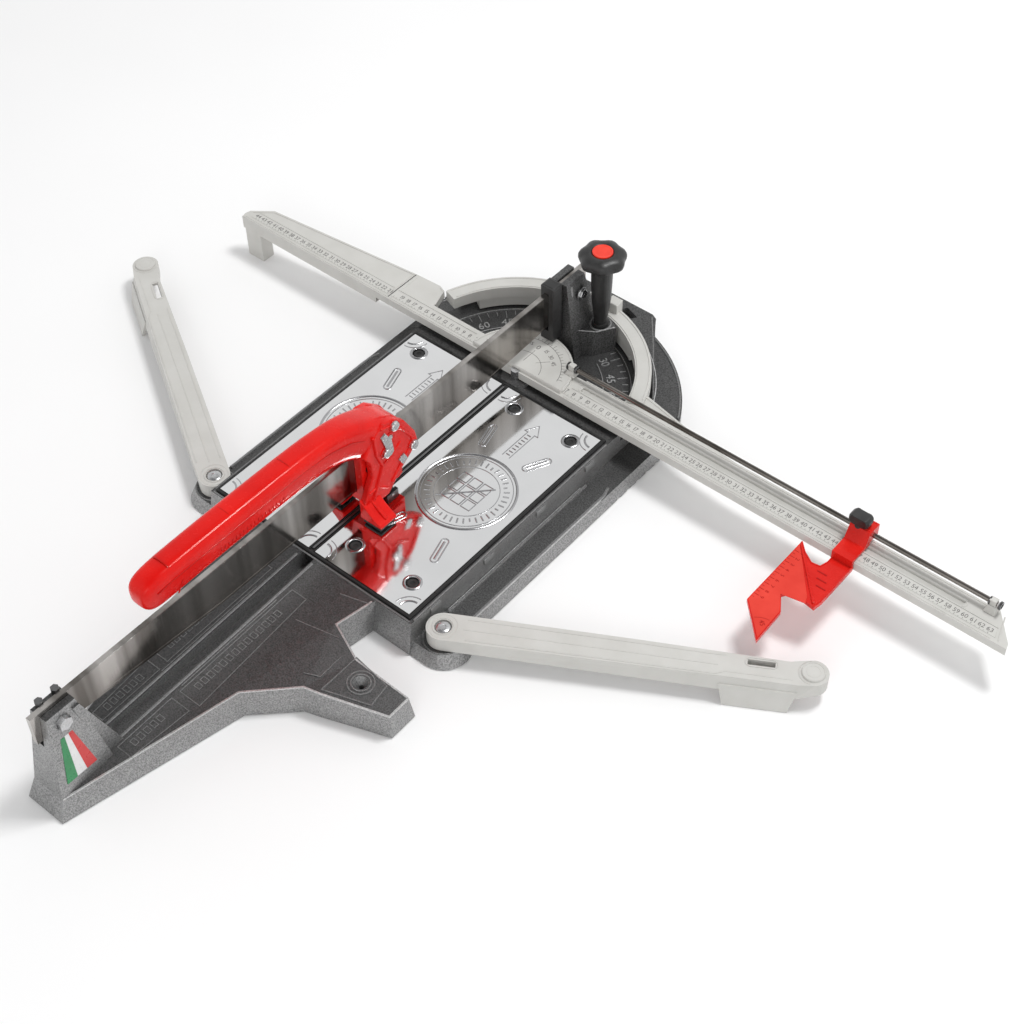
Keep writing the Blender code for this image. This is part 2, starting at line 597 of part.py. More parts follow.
def stop_rod():
    """Steel rod over the right arm, in two posts."""
    for number, x in enumerate(ROD_POSTS):
        name = "rod_post_" + ("inner", "outer")[number]
        post = box(name, (x - 4, x + 4), (ROD_Y - 4.5, ROD_Y + 2), (FENCE_TOP + GAP + (4.2 if x < 67 else 0),
                                                                  ROD_Z + 4.5))
        cut(post, rod(name + "_bore", (x - 20, ROD_Y - 1, ROD_Z), (x + 20, ROD_Y - 1, ROD_Z), 3.0, sides=18,
                      cutter=True))
        finish(post, LIGHT_PAINT)
    steel = rod("stop_rod", (ROD_POSTS[0] - 5, ROD_Y - 1, ROD_Z), (ROD_POSTS[1] + 5, ROD_Y - 1, ROD_Z), 2.95,
                sides=20)
    return finish(steel, CHROME, smooth=True)


def side_stop():
    """Red stop that slides on the right arm, with a 45 degree wing at tile height."""
    x0, x1 = STOP_X - 9, STOP_X + 17
    under = FENCE_TOP + 1.2
    saddle = [(FENCE_FRONT - 4, 51.2), (FENCE_FRONT - GAP, 51.2), (FENCE_FRONT - GAP, under),
              (28, under), (28, ROD_Z - 6.6), (FENCE_BACK + 8, ROD_Z - 6.6), (FENCE_BACK + 8, ROD_Z + 9),
              (26, ROD_Z + 9), (18, FENCE_TOP + 5.5), (FENCE_FRONT - 4, FENCE_TOP + 5)]
    stop = slab("side_stop", saddle, x0, x1, plane="yz")
    cut(stop, rod("stop_bore", (x0 - 9, ROD_Y - 1, ROD_Z), (x1 + 9, ROD_Y - 1, ROD_Z), 3.0, sides=20,
                  cutter=True))
    web = [(STOP_X - 46, -8), (STOP_X - 34, -18), (STOP_X - 20, -26), (STOP_X - 11, -24.5), (STOP_X - 8, -15),
           (STOP_X - 8, -4.2), (STOP_X + 18, -4.2), (STOP_X + 18, -64), (STOP_X + 16, -77)]
    join(stop, slab("stop_web", web, 51.4, 57))
    wing = [(STOP_X - 45.5, -6.5), (STOP_X - 45.5, -111), (STOP_X - 6, -151), (STOP_X - 8, -103),
            (STOP_X - 21, -83), (STOP_X - 14, -72), (STOP_X + 15.7, -76.4), (STOP_X + 16.5, -73.5)]
    join(stop, slab("stop_wing", wing, 51.2, 56))
    cut(stop, rod("wing_screw_hole", (SCREW_X, SCREW_Y, ROD_Z), (SCREW_X, SCREW_Y, ROD_Z + 20), 2.6, sides=16,
                  cutter=True))
    return finish(stop, RED_PLASTIC)


def wing_screw():
    """Black thumb screw that clamps the stop to its rod."""
    x, y = SCREW_X, SCREW_Y
    screw = rod("stop_wing_screw", (x, y, ROD_Z + 9 + GAP), (x, y, ROD_Z + 18), 6.0, 5.0, sides=20)
    join(screw, box("screw_wings", (x - 12, x + 12), (y - 5, y + 5), (ROD_Z + 11, ROD_Z + 23)))
    join(screw, rod("screw_shank", (x, y, ROD_Z + 5.5), (x, y, ROD_Z + 10), 2.4, sides=16))
    return finish(screw, BLACK_PLASTIC)


# --------------------------------------------------------------- lock knob

def lock_knob():
    """Lobed knob with its cap, tapered sleeve, stud and brass bush."""
    lobes = 7
    edge = []
    for i in range(lobes * 8):
        turn = 360.0 * i / (lobes * 8)
        radius = KNOB_R - 2.2 + 2.2 * cos(radians(turn * lobes))
        edge.append((KNOB_X + radius * cos(radians(turn)), KNOB_Y + radius * sin(radians(turn))))
    knob = slab("lock_knob", edge, KNOB_BOTTOM, KNOB_TOP - 0.8)
    cut(knob, rod("cap_seat", (KNOB_X, KNOB_Y, KNOB_TOP - 2.5), (KNOB_X, KNOB_Y, KNOB_TOP + 5), 12.6,
                  sides=32, cutter=True))
    bevel(knob, 1.2, angle=60)
    finish(knob, BLACK_PLASTIC, smooth=True)
    cap = rod("lock_knob_cap", (KNOB_X, KNOB_Y, KNOB_TOP - 2.2), (KNOB_X, KNOB_Y, KNOB_TOP), 12.3, sides=32)
    finish(cap, RED_PLASTIC, smooth=True)
    sleeve = turned("lock_sleeve", [(4.3, KNOB_BOTTOM - GAP), (13.3, KNOB_BOTTOM - GAP), (12.8, 140),
                                    (11.8, 112), (9.0, 86), (7.0, 71.4), (4.3, 71.4)],
                    (KNOB_X, KNOB_Y), sides=28)
    finish(sleeve, BLACK_PLASTIC, smooth=True)
    stud = rod("lock_stud", (KNOB_X, KNOB_Y, 44), (KNOB_X, KNOB_Y, KNOB_BOTTOM - GAP), 4.0, sides=20)
    finish(stud, ZINC, smooth=True)
    bush = rod("lock_bush", (KNOB_X, KNOB_Y, 42), (KNOB_X, KNOB_Y, 70.6), 8.0, sides=24)
    cut(bush, rod("bush_bore", (KNOB_X, KNOB_Y, 20), (KNOB_X, KNOB_Y, 90), 4.1, sides=20, cutter=True))
    finish(bush, BRASS, smooth=True)


def fence_pivot_pin():
    """Pin that the fence turns on."""
    pin = rod("fence_pivot_pin", (0, 0, 50.7), (0, 0, 62.6), 6.0, sides=28)
    return finish(pin, ZINC, smooth=True)


# -------------------------------------------------------------- swing arms

def swing_arm(word):
    """Folding support arm with a hollow hub, a window, an end pad and a floor tab."""
    sign = 1 if word == "right" else -1
    origin = Vector((sign * PIVOT_X, PIVOT_Y))
    turn = radians(ARM_ANGLE[word])

    def at(along, across):
        """Arm coordinates to the bed's; across is positive on the rear side."""
        across *= sign
        return (origin.x + along * cos(turn) - across * sin(turn),
                origin.y + along * sin(turn) + across * cos(turn))

    hub = [(x, y) for x, y in arc(0, 0, ARM_R, 95, 265, 14)]
    end = [(ARM_LENGTH + x, y) for x, y in arc(0, 0, 16.5, -80, 85, 12)]
    rear = [(ARM_LENGTH - 14, 13.5), (ARM_LENGTH - 24, 11.0), (210, 15.0)]

    def loop(front):
        return hub + [(300, -front), (ARM_LENGTH - 16, -front)] + end + rear

    def flat(points):
        rim = [at(x, y) for x, y in points]
        return rim if sign > 0 else list(reversed(rim))

    arm = drafted("swing_arm_" + word, flat(loop(22.5)), ARM_BOTTOM, flat(loop(18.5)), ARM_TOP)
    centre = at(0, 0)
    cut(arm, rod(word + "_arm_bore", (*centre, 0), (*centre, 60), 5.1, sides=24, cutter=True))
    cut(arm, rod(word + "_arm_recess", (*centre, ARM_TOP - 4.5), (*centre, 60), 9.5, sides=28, cutter=True))
    cut(arm, slab(word + "_arm_window", flat([(322, 0.5), (351, 0.5), (351, 7.5), (322, 7.5)]), 0, 60,
                  cutter=True))
    pad = at(ARM_LENGTH, 0)
    join(arm, rod(word + "_arm_pad", (*pad, ARM_TOP - 4), (*pad, ARM_TOP + 2.2), 14, 12.5, sides=28))
    join(arm, drafted(word + "_arm_tab", flat([(300, -28.5), (368, -28.5), (368, -24.5), (300, -24.5)]), 0.4,
                      flat([(294, -22), (376, -22), (376, -17.5), (294, -17.5)]), ARM_TOP - 10))
    cut(arm, slab(word + "_arm_hollow", flat([(30, -13.5), (290, -14), (290, 9), (30, 11.5)]), 0,
                  ARM_TOP - 3.5, cutter=True))
    cut(arm, slab(word + "_arm_end_hollow", flat([(296, -14), (374, -13.5), (374, 8), (296, 8.5)]), 0,
                  ARM_TOP - 3.5, cutter=True))
    finish(arm, LIGHT_PAINT)
    screw = rod("arm_pivot_screw_" + word, (*centre, FLOOR_LEDGE + 0.6), (*centre, ARM_TOP - 3.4), 5.0,
                sides=24)
    join(screw, rod(word + "_screw_head", (*centre, ARM_TOP - 4.2), (*centre, ARM_TOP - 1.0), 8.8, 7.6,
                    sides=24))
    return finish(screw, ZINC, smooth=True)


# ---------------------------------------------------------------- assembly

def build():
    base_casting()
    hex_bolt("front_rail_bolt", (-18, -697, 121), (13.2, -697, 121), 3.9, 8.2, 6.0)
    for word, y in (("front", -704), ("rear", -684)):
        hex_bolt("height_screw_" + word, (-7.5, y, 135.3), (-7.5, y, 136.5), 3.0, 4.6, 7.0, look=STEEL)
    guide_rail()
    rear_tower()
    hex_bolt("rear_rail_bolt", (-16, 102, 121), (14.5, 102, 121), 3.9, 4.6, 4.5)
    rail_collar()
    plates()
    seals()
    feet()
    handle_lever()
    carriage()
    fence_bar()
    fence_extension()
    stop_rod()
    side_stop()
    wing_screw()
    lock_knob()
    fence_pivot_pin()
    for word in ("right", "left"):
        swing_arm(word)


build()
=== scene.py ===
"""Looks of the manual tile cutter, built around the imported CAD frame."""
from math import atan2, cos, degrees, pi, radians, sin

import bmesh
import bpy
from mathutils import Matrix, Vector


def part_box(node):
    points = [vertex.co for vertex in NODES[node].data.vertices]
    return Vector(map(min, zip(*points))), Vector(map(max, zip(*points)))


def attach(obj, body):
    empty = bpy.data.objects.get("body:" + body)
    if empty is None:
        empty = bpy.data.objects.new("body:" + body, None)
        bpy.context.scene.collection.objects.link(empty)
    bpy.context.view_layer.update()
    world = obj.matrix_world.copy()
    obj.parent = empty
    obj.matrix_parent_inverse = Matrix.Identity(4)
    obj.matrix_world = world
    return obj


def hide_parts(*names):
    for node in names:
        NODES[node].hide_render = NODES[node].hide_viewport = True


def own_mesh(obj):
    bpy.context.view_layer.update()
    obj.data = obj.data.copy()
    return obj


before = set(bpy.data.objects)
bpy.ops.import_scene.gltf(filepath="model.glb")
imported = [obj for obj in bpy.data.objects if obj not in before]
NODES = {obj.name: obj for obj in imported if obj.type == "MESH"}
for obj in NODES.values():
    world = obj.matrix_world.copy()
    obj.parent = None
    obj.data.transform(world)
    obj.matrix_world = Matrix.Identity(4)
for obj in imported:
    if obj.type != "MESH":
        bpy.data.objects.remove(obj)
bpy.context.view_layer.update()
MM = 0.001


# ---- materials

class Nodes:
    """A small helper that adds and links shader nodes."""

    def __init__(self, name):
        self.material = bpy.data.materials.new(name)
        self.material.use_nodes = True
        self.tree = self.material.node_tree
        self.shader = self.tree.nodes["Principled BSDF"]
        self.place = self.add("ShaderNodeTexCoord").outputs["Object"]

    def add(self, kind, **values):
        node = self.tree.nodes.new(kind)
        for key, value in values.items():
            setattr(node, key, value)
        return node

    def link(self, source, target):
        self.tree.links.new(source, target)

    def set(self, **values):
        for key, value in values.items():
            self.shader.inputs[key.replace("_", " ")].default_value = value

    def noise(self, scale, detail=3.0, roughness=0.55, stretch=None):
        node = self.add("ShaderNodeTexNoise")
        node.inputs["Scale"].default_value = scale
        node.inputs["Detail"].default_value = detail
        node.inputs["Roughness"].default_value = roughness
        self.link(self.stretched(stretch), node.inputs["Vector"])
        return node.outputs["Fac"]

    def stretched(self, stretch):
        if stretch is None:
            return self.place
        mapping = self.add("ShaderNodeMapping")
        mapping.inputs["Scale"].default_value = stretch
        self.link(self.place, mapping.inputs["Vector"])
        return mapping.outputs["Vector"]

    def cells(self, scale):
        node = self.add("ShaderNodeTexVoronoi")
        node.inputs["Scale"].default_value = scale
        self.link(self.place, node.inputs["Vector"])
        return node.outputs["Distance"]

    def ramp(self, source, stops):
        node = self.add("ShaderNodeValToRGB")
        band = node.color_ramp
        while len(band.elements) < len(stops):
            band.elements.new(0.5)
        for element, (position, colour) in zip(band.elements, stops):
            element.position = position
            element.color = (*colour, 1.0)
        self.link(source, node.inputs["Fac"])
        return node.outputs["Color"]

    def span(self, source, low, high, start=0.3, end=0.7):
        node = self.add("ShaderNodeMapRange")
        node.inputs["From Min"].default_value = start
        node.inputs["From Max"].default_value = end
        node.inputs["To Min"].default_value = low
        node.inputs["To Max"].default_value = high
        self.link(source, node.inputs["Value"])
        return node.outputs["Result"]

    def bump(self, *layers):
        """Layers are (height, strength, distance in metres)."""
        normal = None
        for height, strength, distance in layers:
            node = self.add("ShaderNodeBump")
            node.inputs["Strength"].default_value = strength
            node.inputs["Distance"].default_value = distance
            self.link(height, node.inputs["Height"])
            if normal is not None:
                self.link(normal, node.inputs["Normal"])
            normal = node.outputs["Normal"]
        self.link(normal, self.shader.inputs["Normal"])

    def multiply(self, first, second):
        node = self.add("ShaderNodeMix", data_type="RGBA", blend_type="MULTIPLY")
        node.inputs["Factor"].default_value = 1.0
        self.link(first, node.inputs["A"])
        self.link(second, node.inputs["B"])
        return node.outputs["Result"]

    def colour(self, source):
        self.link(source, self.shader.inputs["Base Color"])

    def rough(self, source):
        self.link(source, self.shader.inputs["Roughness"])


def grey(value, warm=0.0):
    return (value * (1 + warm), value, value * (1 - warm))


def hammered_paint(name, dark=0.20, light=0.44, top=0.30):
    """Metal flakes under paint; painted shade darkens faces that look up by the factor top."""
    m = Nodes(name)
    m.set(Metallic=0.8)
    grain = m.ramp(m.noise(620, 2, 0.6),
                   [(0.34, grey(dark)), (0.50, grey((dark + light) / 2)), (0.68, grey(light))])
    upright = m.add("ShaderNodeSeparateXYZ")
    m.link(m.add("ShaderNodeNewGeometry").outputs["True Normal"], upright.inputs["Vector"])
    # painted shade: faces that look up are darkened by the factor top
    shade = m.ramp(upright.outputs["Z"], [(0.45, (1, 1, 1)), (0.92, grey(top))])
    m.colour(m.multiply(grain, shade))
    m.rough(m.span(m.noise(240, 3), 0.36, 0.52))
    m.bump((m.noise(1300, 2, 0.6), 0.42, 0.00035), (m.cells(900), 0.18, 0.0003),
           (m.noise(60, 2), 0.08, 0.001))
    return m.material


# Bright metal for edges and raised marks: partly wear, partly painted highlight where edges catch the light.
def worn_metal(name):
    m = Nodes(name)
    m.set(Metallic=0.9)
    m.colour(m.ramp(m.noise(700, 3), [(0.3, grey(0.38)), (0.75, grey(0.80))]))
    m.rough(m.span(m.noise(400, 2), 0.28, 0.45))
    m.bump((m.noise(1100, 2), 0.25, 0.0003))
    return m.material


def light_paint(name, base=0.56):
    m = Nodes(name)
    m.colour(m.ramp(m.noise(35, 4), [(0.25, (base * 0.94, base * 0.93, base * 0.88)),
                                     (0.75, (base * 1.04, base * 1.03, base * 0.985))]))
    m.rough(m.span(m.noise(180, 3), 0.42, 0.58))
    m.bump((m.noise(1500, 2), 0.10, 0.0003), (m.noise(45, 2), 0.04, 0.001))
    return m.material


RAIL_HEIGHTS = 0.085, 0.142     # lower and upper edge of the bar, in metres


def chrome(name, tint=(0.90, 0.905, 0.91), rough=(0.045, 0.10)):
    m = Nodes(name)
    m.set(Metallic=1.0)
    m.colour(m.ramp(m.noise(16, 4), [(0.3, tuple(c * 0.93 for c in tint)), (0.7, tint)]))
    m.rough(m.span(m.noise(55, 5), *rough))
    m.bump((m.noise(9, 2), 0.035, 0.002), (m.noise(2200, 2), 0.02, 0.0002))
    return m.material


def brushed_chrome(name, low=0.42, high=0.80):
    """Chrome with faint upright bands of painted reflection, and a painted darker reflection that greys it
    towards the bar's lower edge.
    """
    m = Nodes(name)
    m.set(Metallic=1.0)
    # painted reflection: dark and light upright bands in the chrome's colour
    bands = m.ramp(m.noise(9, 3, 0.55, stretch=(1, 2.4, 0.12)),
                   [(0.38, grey(low, 0.08)), (0.62, grey(high, 0.04))])
    height = m.add("ShaderNodeSeparateXYZ")
    m.link(m.place, height.inputs["Vector"])
    # painted reflection: the colour darkens towards the bar's lower edge
    painted_dark_reflection = m.ramp(m.span(height.outputs["Z"], 0, 1, *RAIL_HEIGHTS),
                  [(0.0, grey(0.62, 0.04)), (1.0, grey(1.0))])
    m.colour(m.multiply(bands, painted_dark_reflection))
    m.rough(m.span(m.noise(60, 4, stretch=(1, 14, 1)), 0.08, 0.20))
    m.bump((m.noise(260, 3, stretch=(1, 0.03, 6)), 0.05, 0.0003), (m.noise(7, 2), 0.05, 0.003))
    return m.material


def metal(name, dark, light, rough, scales=(300, 220, 900), bump=0.12):
    m = Nodes(name)
    m.set(Metallic=1.0)
    m.colour(m.ramp(m.noise(scales[0], 3), [(0.3, dark), (0.7, light)]))
    m.rough(m.span(m.noise(scales[1], 3), *rough))
    m.bump((m.noise(scales[2], 2), bump, 0.0003))
    return m.material


def zinc(name, value=0.62, rough=(0.20, 0.34)):
    return metal(name, grey(value * 0.8), (value, value * 1.01, value * 1.03), rough)


def enamel(name, deep=(0.60, 0.006, 0.005), bright=(0.72, 0.010, 0.007), rough=(0.20, 0.30)):
    m = Nodes(name)
    m.set(Coat_Weight=0.18, Coat_Roughness=0.06, Specular_IOR_Level=0.22)
    m.shader.inputs["Specular Tint"].default_value = (1.0, 0.45, 0.40, 1.0)
    m.colour(m.ramp(m.noise(28, 4), [(0.3, deep), (0.7, bright)]))
    m.rough(m.span(m.noise(120, 3), *rough))
    m.bump((m.noise(420, 2), 0.05, 0.0004), (m.noise(50, 2), 0.04, 0.001))
    return m.material


def moulded(name, low, high, rough, bump=0.22, scale=1400, coat=0.0):
    m = Nodes(name)
    m.set(Coat_Weight=coat, Coat_Roughness=0.2)
    m.colour(m.ramp(m.noise(60, 4), [(0.3, low), (0.7, high)]))
    m.rough(m.span(m.noise(200, 3), *rough))
    m.bump((m.noise(scale, 2), bump, 0.0003))
    return m.material


M = {
    # the last argument of hammered_paint (top) sets how much painted shade darkens faces that look up
    "hammered": hammered_paint("hammered_grey_cast"),
    "hammered_side": hammered_paint("hammered_grey_raised", 0.26, 0.46, 0.62),
    "label": moulded("label_white", grey(0.66), grey(0.72), (0.25, 0.35), 0.03, coat=0.3),
    "steel_bright": zinc("clip_steel", 0.16, (0.14, 0.24)),
    "red_line": enamel("red_enamel_shade", (0.42, 0.004, 0.003), (0.54, 0.008, 0.005), (0.25, 0.35)),
    "red_light": enamel("red_plastic_face", (0.66, 0.040, 0.026), (0.76, 0.060, 0.040), (0.35, 0.45)),
    "worn_and_highlight": worn_metal("worn_edge_and_highlight"),
    "light": light_paint("light_grey_paint_fine"),
    "plate": chrome("mirror_chrome"),
    # rail and rod: their dark bands and grey lower edge are painted reflection
    "rail": brushed_chrome("rail_chrome", 0.15, 0.50),
    # the relief is the plates' own chrome; its darker tint is painted shade on the relief's slopes
    "relief": chrome("relief_chrome_painted_shade", (0.46, 0.46, 0.47), (0.20, 0.30)),
    "hammered_dark": hammered_paint("hammered_grey_tower", 0.09, 0.27, 0.62),
    "label_green": moulded("label_green", (0.015, 0.19, 0.06), (0.02, 0.24, 0.08), (0.25, 0.35), 0.03,
                           coat=0.3),
    "label_red": moulded("label_red", (0.50, 0.02, 0.02), (0.58, 0.03, 0.03), (0.25, 0.35), 0.03, coat=0.3),
    "rod": brushed_chrome("rod_chrome", 0.16, 0.42),
    "zinc": zinc("zinc_plate"),
    "steel": zinc("dark_steel", 0.20, (0.30, 0.42)),
    "brass": metal("turned_brass", (0.50, 0.34, 0.12), (0.66, 0.47, 0.19), (0.22, 0.36),
                   (200, 300, 600), 0.08),
    "red": enamel("red_enamel_gloss"),
    "red_plastic": enamel("red_plastic_gloss", (0.58, 0.012, 0.008), (0.70, 0.020, 0.014), (0.22, 0.32)),
    "red_dark": enamel("red_plastic_fold", (0.34, 0.004, 0.004), (0.46, 0.008, 0.006), (0.25, 0.35)),
    "cap": moulded("cap_orange_red", (0.72, 0.030, 0.012), (0.84, 0.045, 0.020), (0.30, 0.42), 0.10),
    "black": moulded("black_moulding", grey(0.012), grey(0.026), (0.34, 0.48)),
    "rubber": moulded("black_rubber", grey(0.008), grey(0.018), (0.50, 0.68), 0.30, 900),
    "ink": moulded("scale_ink", grey(0.09, 0.04), grey(0.16, 0.04), (0.5, 0.6), 0.1),
    "groove": moulded("seam_shadow", grey(0.03, 0.03), grey(0.06, 0.03), (0.55, 0.65), 0.1),
}

LOOKS = {
    "hammered": ["base_casting"],
    "hammered_dark": ["rear_tower"],
    "light": ["fence_bar", "fence_extension", "rod_post_inner", "rod_post_outer", "swing_arm_left",
              "swing_arm_right"],
    "plate": ["plate_left", "plate_right"],
    "rail": ["guide_rail"],
    "rod": ["stop_rod"],
    "zinc": ["front_rail_bolt", "rear_rail_bolt", "lever_pin", "wheel_axle", "lever_screw_1", "lever_screw_2",
             "lever_screw_3", "lock_stud", "fence_pivot_pin", "arm_pivot_screw_left",
             "arm_pivot_screw_right"],
    "steel": ["height_screw_front", "height_screw_rear", "carriage_bearing_front", "carriage_bearing_rear",
              "wheel_holder", "scoring_wheel", "breaker_strip"]
             + ["plate_spring_%s_%s" % (s, r) for s in ("left", "right") for r in ("front", "rear")],
    "brass": ["lock_bush"],
    "red": ["handle_lever", "carriage_body"],
    "red_plastic": ["side_stop"],
    "cap": ["lock_knob_cap"],
    "black": ["lock_knob", "lock_sleeve", "rail_collar", "stop_wing_screw"],
    "rubber": ["gasket_frame", "breaker_pad_left", "breaker_pad_right"]
              + ["plate_plug_%s_%d" % (s, i) for s in ("left", "right") for i in (1, 2, 3, 4)]
              + ["rubber_foot_" + w for w in ("nose", "foot", "front_left", "rear_left", "rear_right")],
}
EDGES = {
    1.6: "swing_arm_left swing_arm_right",
    1.3: "base_casting",
    1.2: "rear_tower fence_extension stop_wing_screw",
    1.0: "carriage_body",
    0.9: "fence_bar",
    0.8: "rail_collar",
    0.6: "rod_post_inner rod_post_outer",
    0.5: "side_stop lock_knob_cap gasket_frame front_rail_bolt",
    0.4: "rear_rail_bolt lever_screw_1 lever_screw_2 lever_screw_3",
    0.35: "guide_rail plate_left plate_right",
    0.3: "breaker_strip",
}
EDGE_OF = {name: width for width, names in EDGES.items() for name in names.split()}
for look, names in LOOKS.items():
    for node_name in names:
        node = NODES[node_name]
        node.data.materials.clear()
        node.data.materials.append(M[look])
        node.data.shade_smooth()
        node.data.set_sharp_from_angle(angle=radians(32))
        if node_name in EDGE_OF:
            edge = node.modifiers.new("soft_edges", "BEVEL")
            edge.width = EDGE_OF[node_name] * MM
            edge.segments = 2
            edge.limit_method = "ANGLE"
            edge.angle_limit = radians(38)
            edge.harden_normals = True


# ---- shape helpers

PIVOT = Vector((174, -331, 0))                 # the right swing arm's screw; the left one mirrors it
ARM_SWING = {"right": radians(30.2), "left": radians(149.0)}
ARM_TOP = 36.5
FENCE_TOP = 61.8
FENCE_PANEL = FENCE_TOP + 0.6                  # raised panel that carries the fence's scale
DISC_TOP = 66.0                                # top of the protractor's half disc
PLATE_TOP = 50.0
FRAME_TOP = 45.8
SEAL_TOP = 48.5
LEDGE_TOP = 17.4
DIAL_FLOOR = 34
HOLES_X, HOLES_Y = (32.9, 116.7), (-314.6, -42.6)   # plugged holes in the right plate
KNOB_AXIS = (34.5, 118.3)
STOP_X, STOP_FACE = 455.0, 56.45
LEVER_SCREWS = ((-231, 164), (-246, 134), (-204, 114))
TILE = ((-1, -1), (1, -1), (1, 1), (-1, 1))    # corners of a square, in order


def put(name, data):
    obj = bpy.data.objects.new(name, data)
    bpy.context.scene.collection.objects.link(obj)
    return obj


class Shape:
    """Collects closed parts, in millimetres, and makes one piece of them."""

    def __init__(self):
        self.work = bmesh.new()
        self.frame = Matrix.Identity(4)

    def vert(self, x, y, z):
        return self.work.verts.new(self.frame @ Vector((x, y, z)))

    def skin(self, rings, closed=False):
        """Joins rings of the same number of points; closed joins the last ring to the first."""
        made = [[self.vert(*p) for p in ring] for ring in rings]
        count = len(made[0])
        pairs = list(zip(made, made[1:])) + ([(made[-1], made[0])] if closed else [])
        for low, high in pairs:
            for i in range(count):
                j = (i + 1) % count
                self.work.faces.new((low[i], low[j], high[j], high[i]))
        if not closed:
            self.work.faces.new(list(reversed(made[0])))
            self.work.faces.new(made[-1])
        return self

    def strip(self, path, width, low, height, closed=False, crown=0.6):
        """A rounded ridge along a level path; low is a number or a function of x and y."""
        floor_at = low if callable(low) else (lambda x, y: low)
        section = ((-1, -0.3), (-1, 0.35), (-crown, 1), (crown, 1), (1, 0.35), (1, -0.3))   # across, up
        points = [Vector(p) for p in path]
        rings = []
        for i, point in enumerate(points):
            before = points[i - 1] if (i or closed) else point * 2 - points[1]
            is_end = i == len(points) - 1 and not closed
            after = point * 2 - points[-2] if is_end else points[(i + 1) % len(points)]
            a, b = (point - before).normalized(), (after - point).normalized()
            side = (Vector((a.y, -a.x)) + Vector((b.y, -b.x))).normalized()
            reach = width / 2 / max(0.5, side.dot(Vector((a.y, -a.x))))
            base = floor_at(point.x, point.y)
            rings.append([(point.x + side.x * u * reach, point.y + side.y * u * reach, base + v * height)
                          for u, v in section])
        return self.skin(rings, closed)

    def lathe(self, x, y, profile, sides=36, lobes=None):
        """Turns an open or closed (radius, height) outline about an upright line through (x, y)."""
        rings = []
        for i in range(sides):
            angle = 2 * pi * i / sides
            ring = []
            for radius, z in profile:
                r = radius * (lobes(angle, radius) if lobes else 1)
                ring.append((x + r * cos(angle), y + r * sin(angle), z))
            rings.append(ring)
        return self.skin(rings, closed=True)

    def prism(self, outline, low, high, inset=0.0):
        """A plate with an outline; inset draws its top in towards the middle."""
        centre = sum((Vector(p) for p in outline), Vector((0, 0))) / len(outline)
        top = []
        for p in outline:
            away = Vector(p) - centre
            top.append(Vector(p) - away.normalized() * inset)
        return self.skin([[(*p, low) for p in outline], [(*p, high) for p in top]])

    def digits(self, text, x, y, z, size, angle=0.0, thick=0.12):
        """Plain figures, centred on a point."""
        width = sum(GLYPHS[c][2] for c in text) * size
        at = -width / 2
        turn = Matrix.Rotation(angle, 2)
        for character in text:
            points, faces, advance = GLYPHS[character]
            made = []
            for p in points:
                spot = turn @ Vector((at + p[0] * size, (p[1] - 0.35) * size))
                made.append(self.vert(x + spot.x, y + spot.y, z + (thick if p[2] > 0 else -0.1)))
            for face in faces:
                self.work.faces.new([made[i] for i in face])
            at += advance * size
        return self

    def piece(self, name, body, look, edge=0.0, angle=35, smooth=0):
        bmesh.ops.recalc_face_normals(self.work, faces=self.work.faces)
        bmesh.ops.scale(self.work, vec=(MM, MM, MM), verts=self.work.verts)
        mesh = bpy.data.meshes.new(name)
        self.work.to_mesh(mesh)
        self.work.free()
        obj = put(name, mesh)
        mesh.materials.append(M[look])
        mesh.shade_smooth()
        mesh.set_sharp_from_angle(angle=radians(angle))
        if smooth:
            surface = obj.modifiers.new("smooth", "SUBSURF")
            surface.levels = surface.render_levels = smooth
        if edge:
            soft = obj.modifiers.new("soft_edges", "BEVEL")
            soft.width, soft.segments, soft.limit_method = edge * MM, 3, "ANGLE"
            soft.angle_limit = radians(30)
            soft.harden_normals = True
        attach(obj, body)
        return obj


def glyphs():
    """The ten figures as flat meshes: points, faces and advance, for a size of one."""
    made = {}
    for character in "0123456789":
        curve = bpy.data.curves.new("figure", "FONT")
        curve.body = character
        curve.extrude = 0.01
        curve.resolution_u = 3
        curve.size = 1.0
        obj = put("figure", curve)
        bpy.context.view_layer.update()
        mesh = obj.evaluated_get(bpy.context.evaluated_depsgraph_get()).to_mesh()
        points = [tuple(v.co) for v in mesh.vertices]
        faces = [tuple(p.vertices) for p in mesh.polygons]
        made[character] = (points, faces, max(p[0] for p in points) + 0.04)
        obj.to_mesh_clear()
        bpy.data.objects.remove(obj)
        bpy.data.curves.remove(curve)
    return made


GLYPHS = glyphs()


def arc(x, y, radius, start, end, count=24):
    """Points on a circle, from one angle in degrees to another."""
    step = (end - start) / count
    return [(x + radius * cos(radians(start + step * i)), y + radius * sin(radians(start + step * i)))
            for i in range(count + 1)]


def circle(x, y, radius, count=48):
    return arc(x, y, radius, 0, 360, count)[:-1]


def stadium(a, b, radius):
    """Outline round two points."""
    a, b = Vector(a), Vector(b)
    turn = degrees(atan2((b - a).y, (b - a).x))
    return arc(*b, radius, turn - 90, turn + 90, 8) + arc(*a, radius, turn + 90, turn + 270, 8)


def nose_top(x, y):
    """Level of the nose's top, and of its foot."""
    base = 27.0 + (y + 727.0) * 0.0497
    return base if x < 100 else base + (37.5 - base) * min(1, (x - 100) / 25) - max(0, x - 135) * 0.055


# ---- bed details

